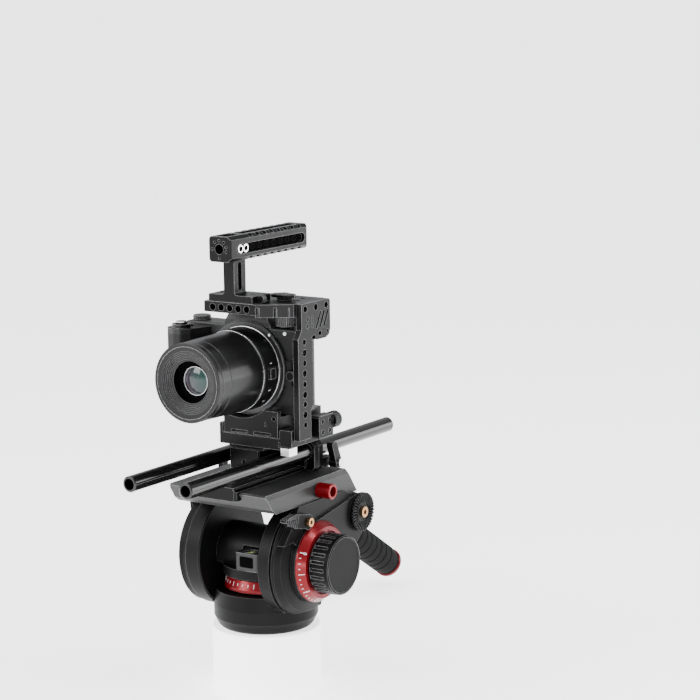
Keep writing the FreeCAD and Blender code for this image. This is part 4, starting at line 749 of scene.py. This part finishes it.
# %% Floor and block
UNDER_BAR = 0.012
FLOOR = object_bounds()[0].z - UNDER_BAR
REACH = 60.0
FLOOR_GLOW = 1.8
shader, place = start_finish("pale_floor", 0.85, specular=0.2)
shader.inputs["Emission Color"].default_value = (1, 1, 1, 1)
shader.inputs["Emission Strength"].default_value = FLOOR_GLOW
plug(shader, "Base Color", blend(noise(place, 300.0, 1.0), (0.86, 0.86, 0.86, 1), (0.88, 0.88, 0.88, 1)))

sheet = bmesh.new()
corners = ((-REACH, -REACH), (REACH, -REACH), (REACH, REACH), (-REACH, REACH))
sheet.faces.new([sheet.verts.new((x, y, FLOOR)) for x, y in corners])
floor = settle("floor_sheet", sheet, "pale_floor", None)
# the block glows with the floor's finish: painted light just under the head
block = lathe("stand_block", "Z", (0, 0, 0), [(0, FLOOR / MM), (52, FLOOR / MM), (52, -1.2), (51.2, -0.4),
              (0, -0.4)], "pale_floor", None)
print("floor at", round(FLOOR, 4))

# %% [markdown]
# ## Light
# Black metal shows only what it reflects, so each lamp is there for the faces that mirror it. A wide panel
# at the front left lights everything that faces forward. One behind on the right lights the sides and puts
# the soft patch on the lens. A long strip overhead draws the line along the rails, and a low one in front
# fills the head. A broad soft sun keeps the floor evenly pale. The surround lights the rig dimly, and where
# it is seen directly it is as pale as the floor, so that no horizon shows.


# %% Lights
def panel(name, place, size, power):
    """A flat lamp that faces the middle of the rig: sizes in metres, power in watts."""
    data = bpy.data.lights.new(name, "AREA")
    data.shape = "RECTANGLE"
    data.size, data.size_y = size
    data.energy = power
    lamp = bpy.data.objects.new(name, data)
    bpy.context.scene.collection.objects.link(lamp)
    lamp.location = place
    lamp.rotation_euler = (RIG_MIDDLE - Vector(place)).to_track_quat("-Z", "Y").to_euler()


RIG_MIDDLE = Vector((0.0, 0.0, 0.19))
panel("front_left_panel", (-1.6, -2.5, 1.35), (1.3, 1.1), 56)
panel("back_right_panel", (1.35, 1.9, 0.45), (0.7, 0.8), 12)
panel("overhead_strip", (0.85, 0.1, 1.5), (0.35, 1.5), 30)
panel("low_front_panel", (1.0, -1.55, 0.08), (0.7, 0.25), 7)

sun = bpy.data.lights.new("soft_sun", "SUN")
sun.energy = 3.2
sun.angle = math.radians(70)
sun_lamp = bpy.data.objects.new("soft_sun", sun)
bpy.context.scene.collection.objects.link(sun_lamp)
sun_lamp.rotation_euler = Vector((0.45, 0.55, -1.0)).to_track_quat("-Z", "Y").to_euler()

SURROUND_LIGHT = 0.85
SURROUND_SEEN = 3.75
world = bpy.data.worlds.new("surround")
bpy.context.scene.world = world
world.use_nodes = True
backdrop = world.node_tree.nodes["Background"]
backdrop.inputs["Color"].default_value = (0.92, 0.93, 0.95, 1)
ray = world.node_tree.nodes.new("ShaderNodeLightPath")
seen = world.node_tree.nodes.new("ShaderNodeMapRange")
seen.inputs["To Min"].default_value = SURROUND_LIGHT
seen.inputs["To Max"].default_value = SURROUND_SEEN
world.node_tree.links.new(ray.outputs["Is Camera Ray"], seen.inputs["Value"])
world.node_tree.links.new(seen.outputs["Result"], backdrop.inputs["Strength"])
print("lights set")

# %% [markdown]
# ## Camera
# A long lens from a little above and about a tenth of a turn round: the rig stays free of wide-angle
# stretch, and its front, its side and its top all show. The camera's own right, up and back directions are
# worked out from its heading, its height and a very small lean, and are the columns of its matrix.

# %% Camera
HEADING = math.radians(33.23)
RISE = math.radians(9.865)
ROLL = math.radians(-0.70)
STAND = (1.1866, -1.6592, 0.6178)
back = Vector((math.sin(HEADING) * math.cos(RISE), -math.cos(HEADING) * math.cos(RISE), math.sin(RISE)))
level = Vector((math.cos(HEADING), math.sin(HEADING), 0))
upright = back.cross(level)
right = level * math.cos(ROLL) + upright * math.sin(ROLL)
up = upright * math.cos(ROLL) - level * math.sin(ROLL)
lens = bpy.data.cameras.new("view_camera")
lens.lens = 113.14
lens.sensor_width = 36.0
lens.clip_end = 200.0
view_camera = bpy.data.objects.new("view_camera", lens)
bpy.context.scene.collection.objects.link(view_camera)
turn = Matrix((right, up, back)).transposed().to_4x4()
view_camera.matrix_world = Matrix.Translation(STAND) @ turn
bpy.context.scene.camera = view_camera
print("camera set")

# %% [markdown]
# ## Size
# The trim must not make the rig bigger than the measured model.

# %% End
print("scene built")
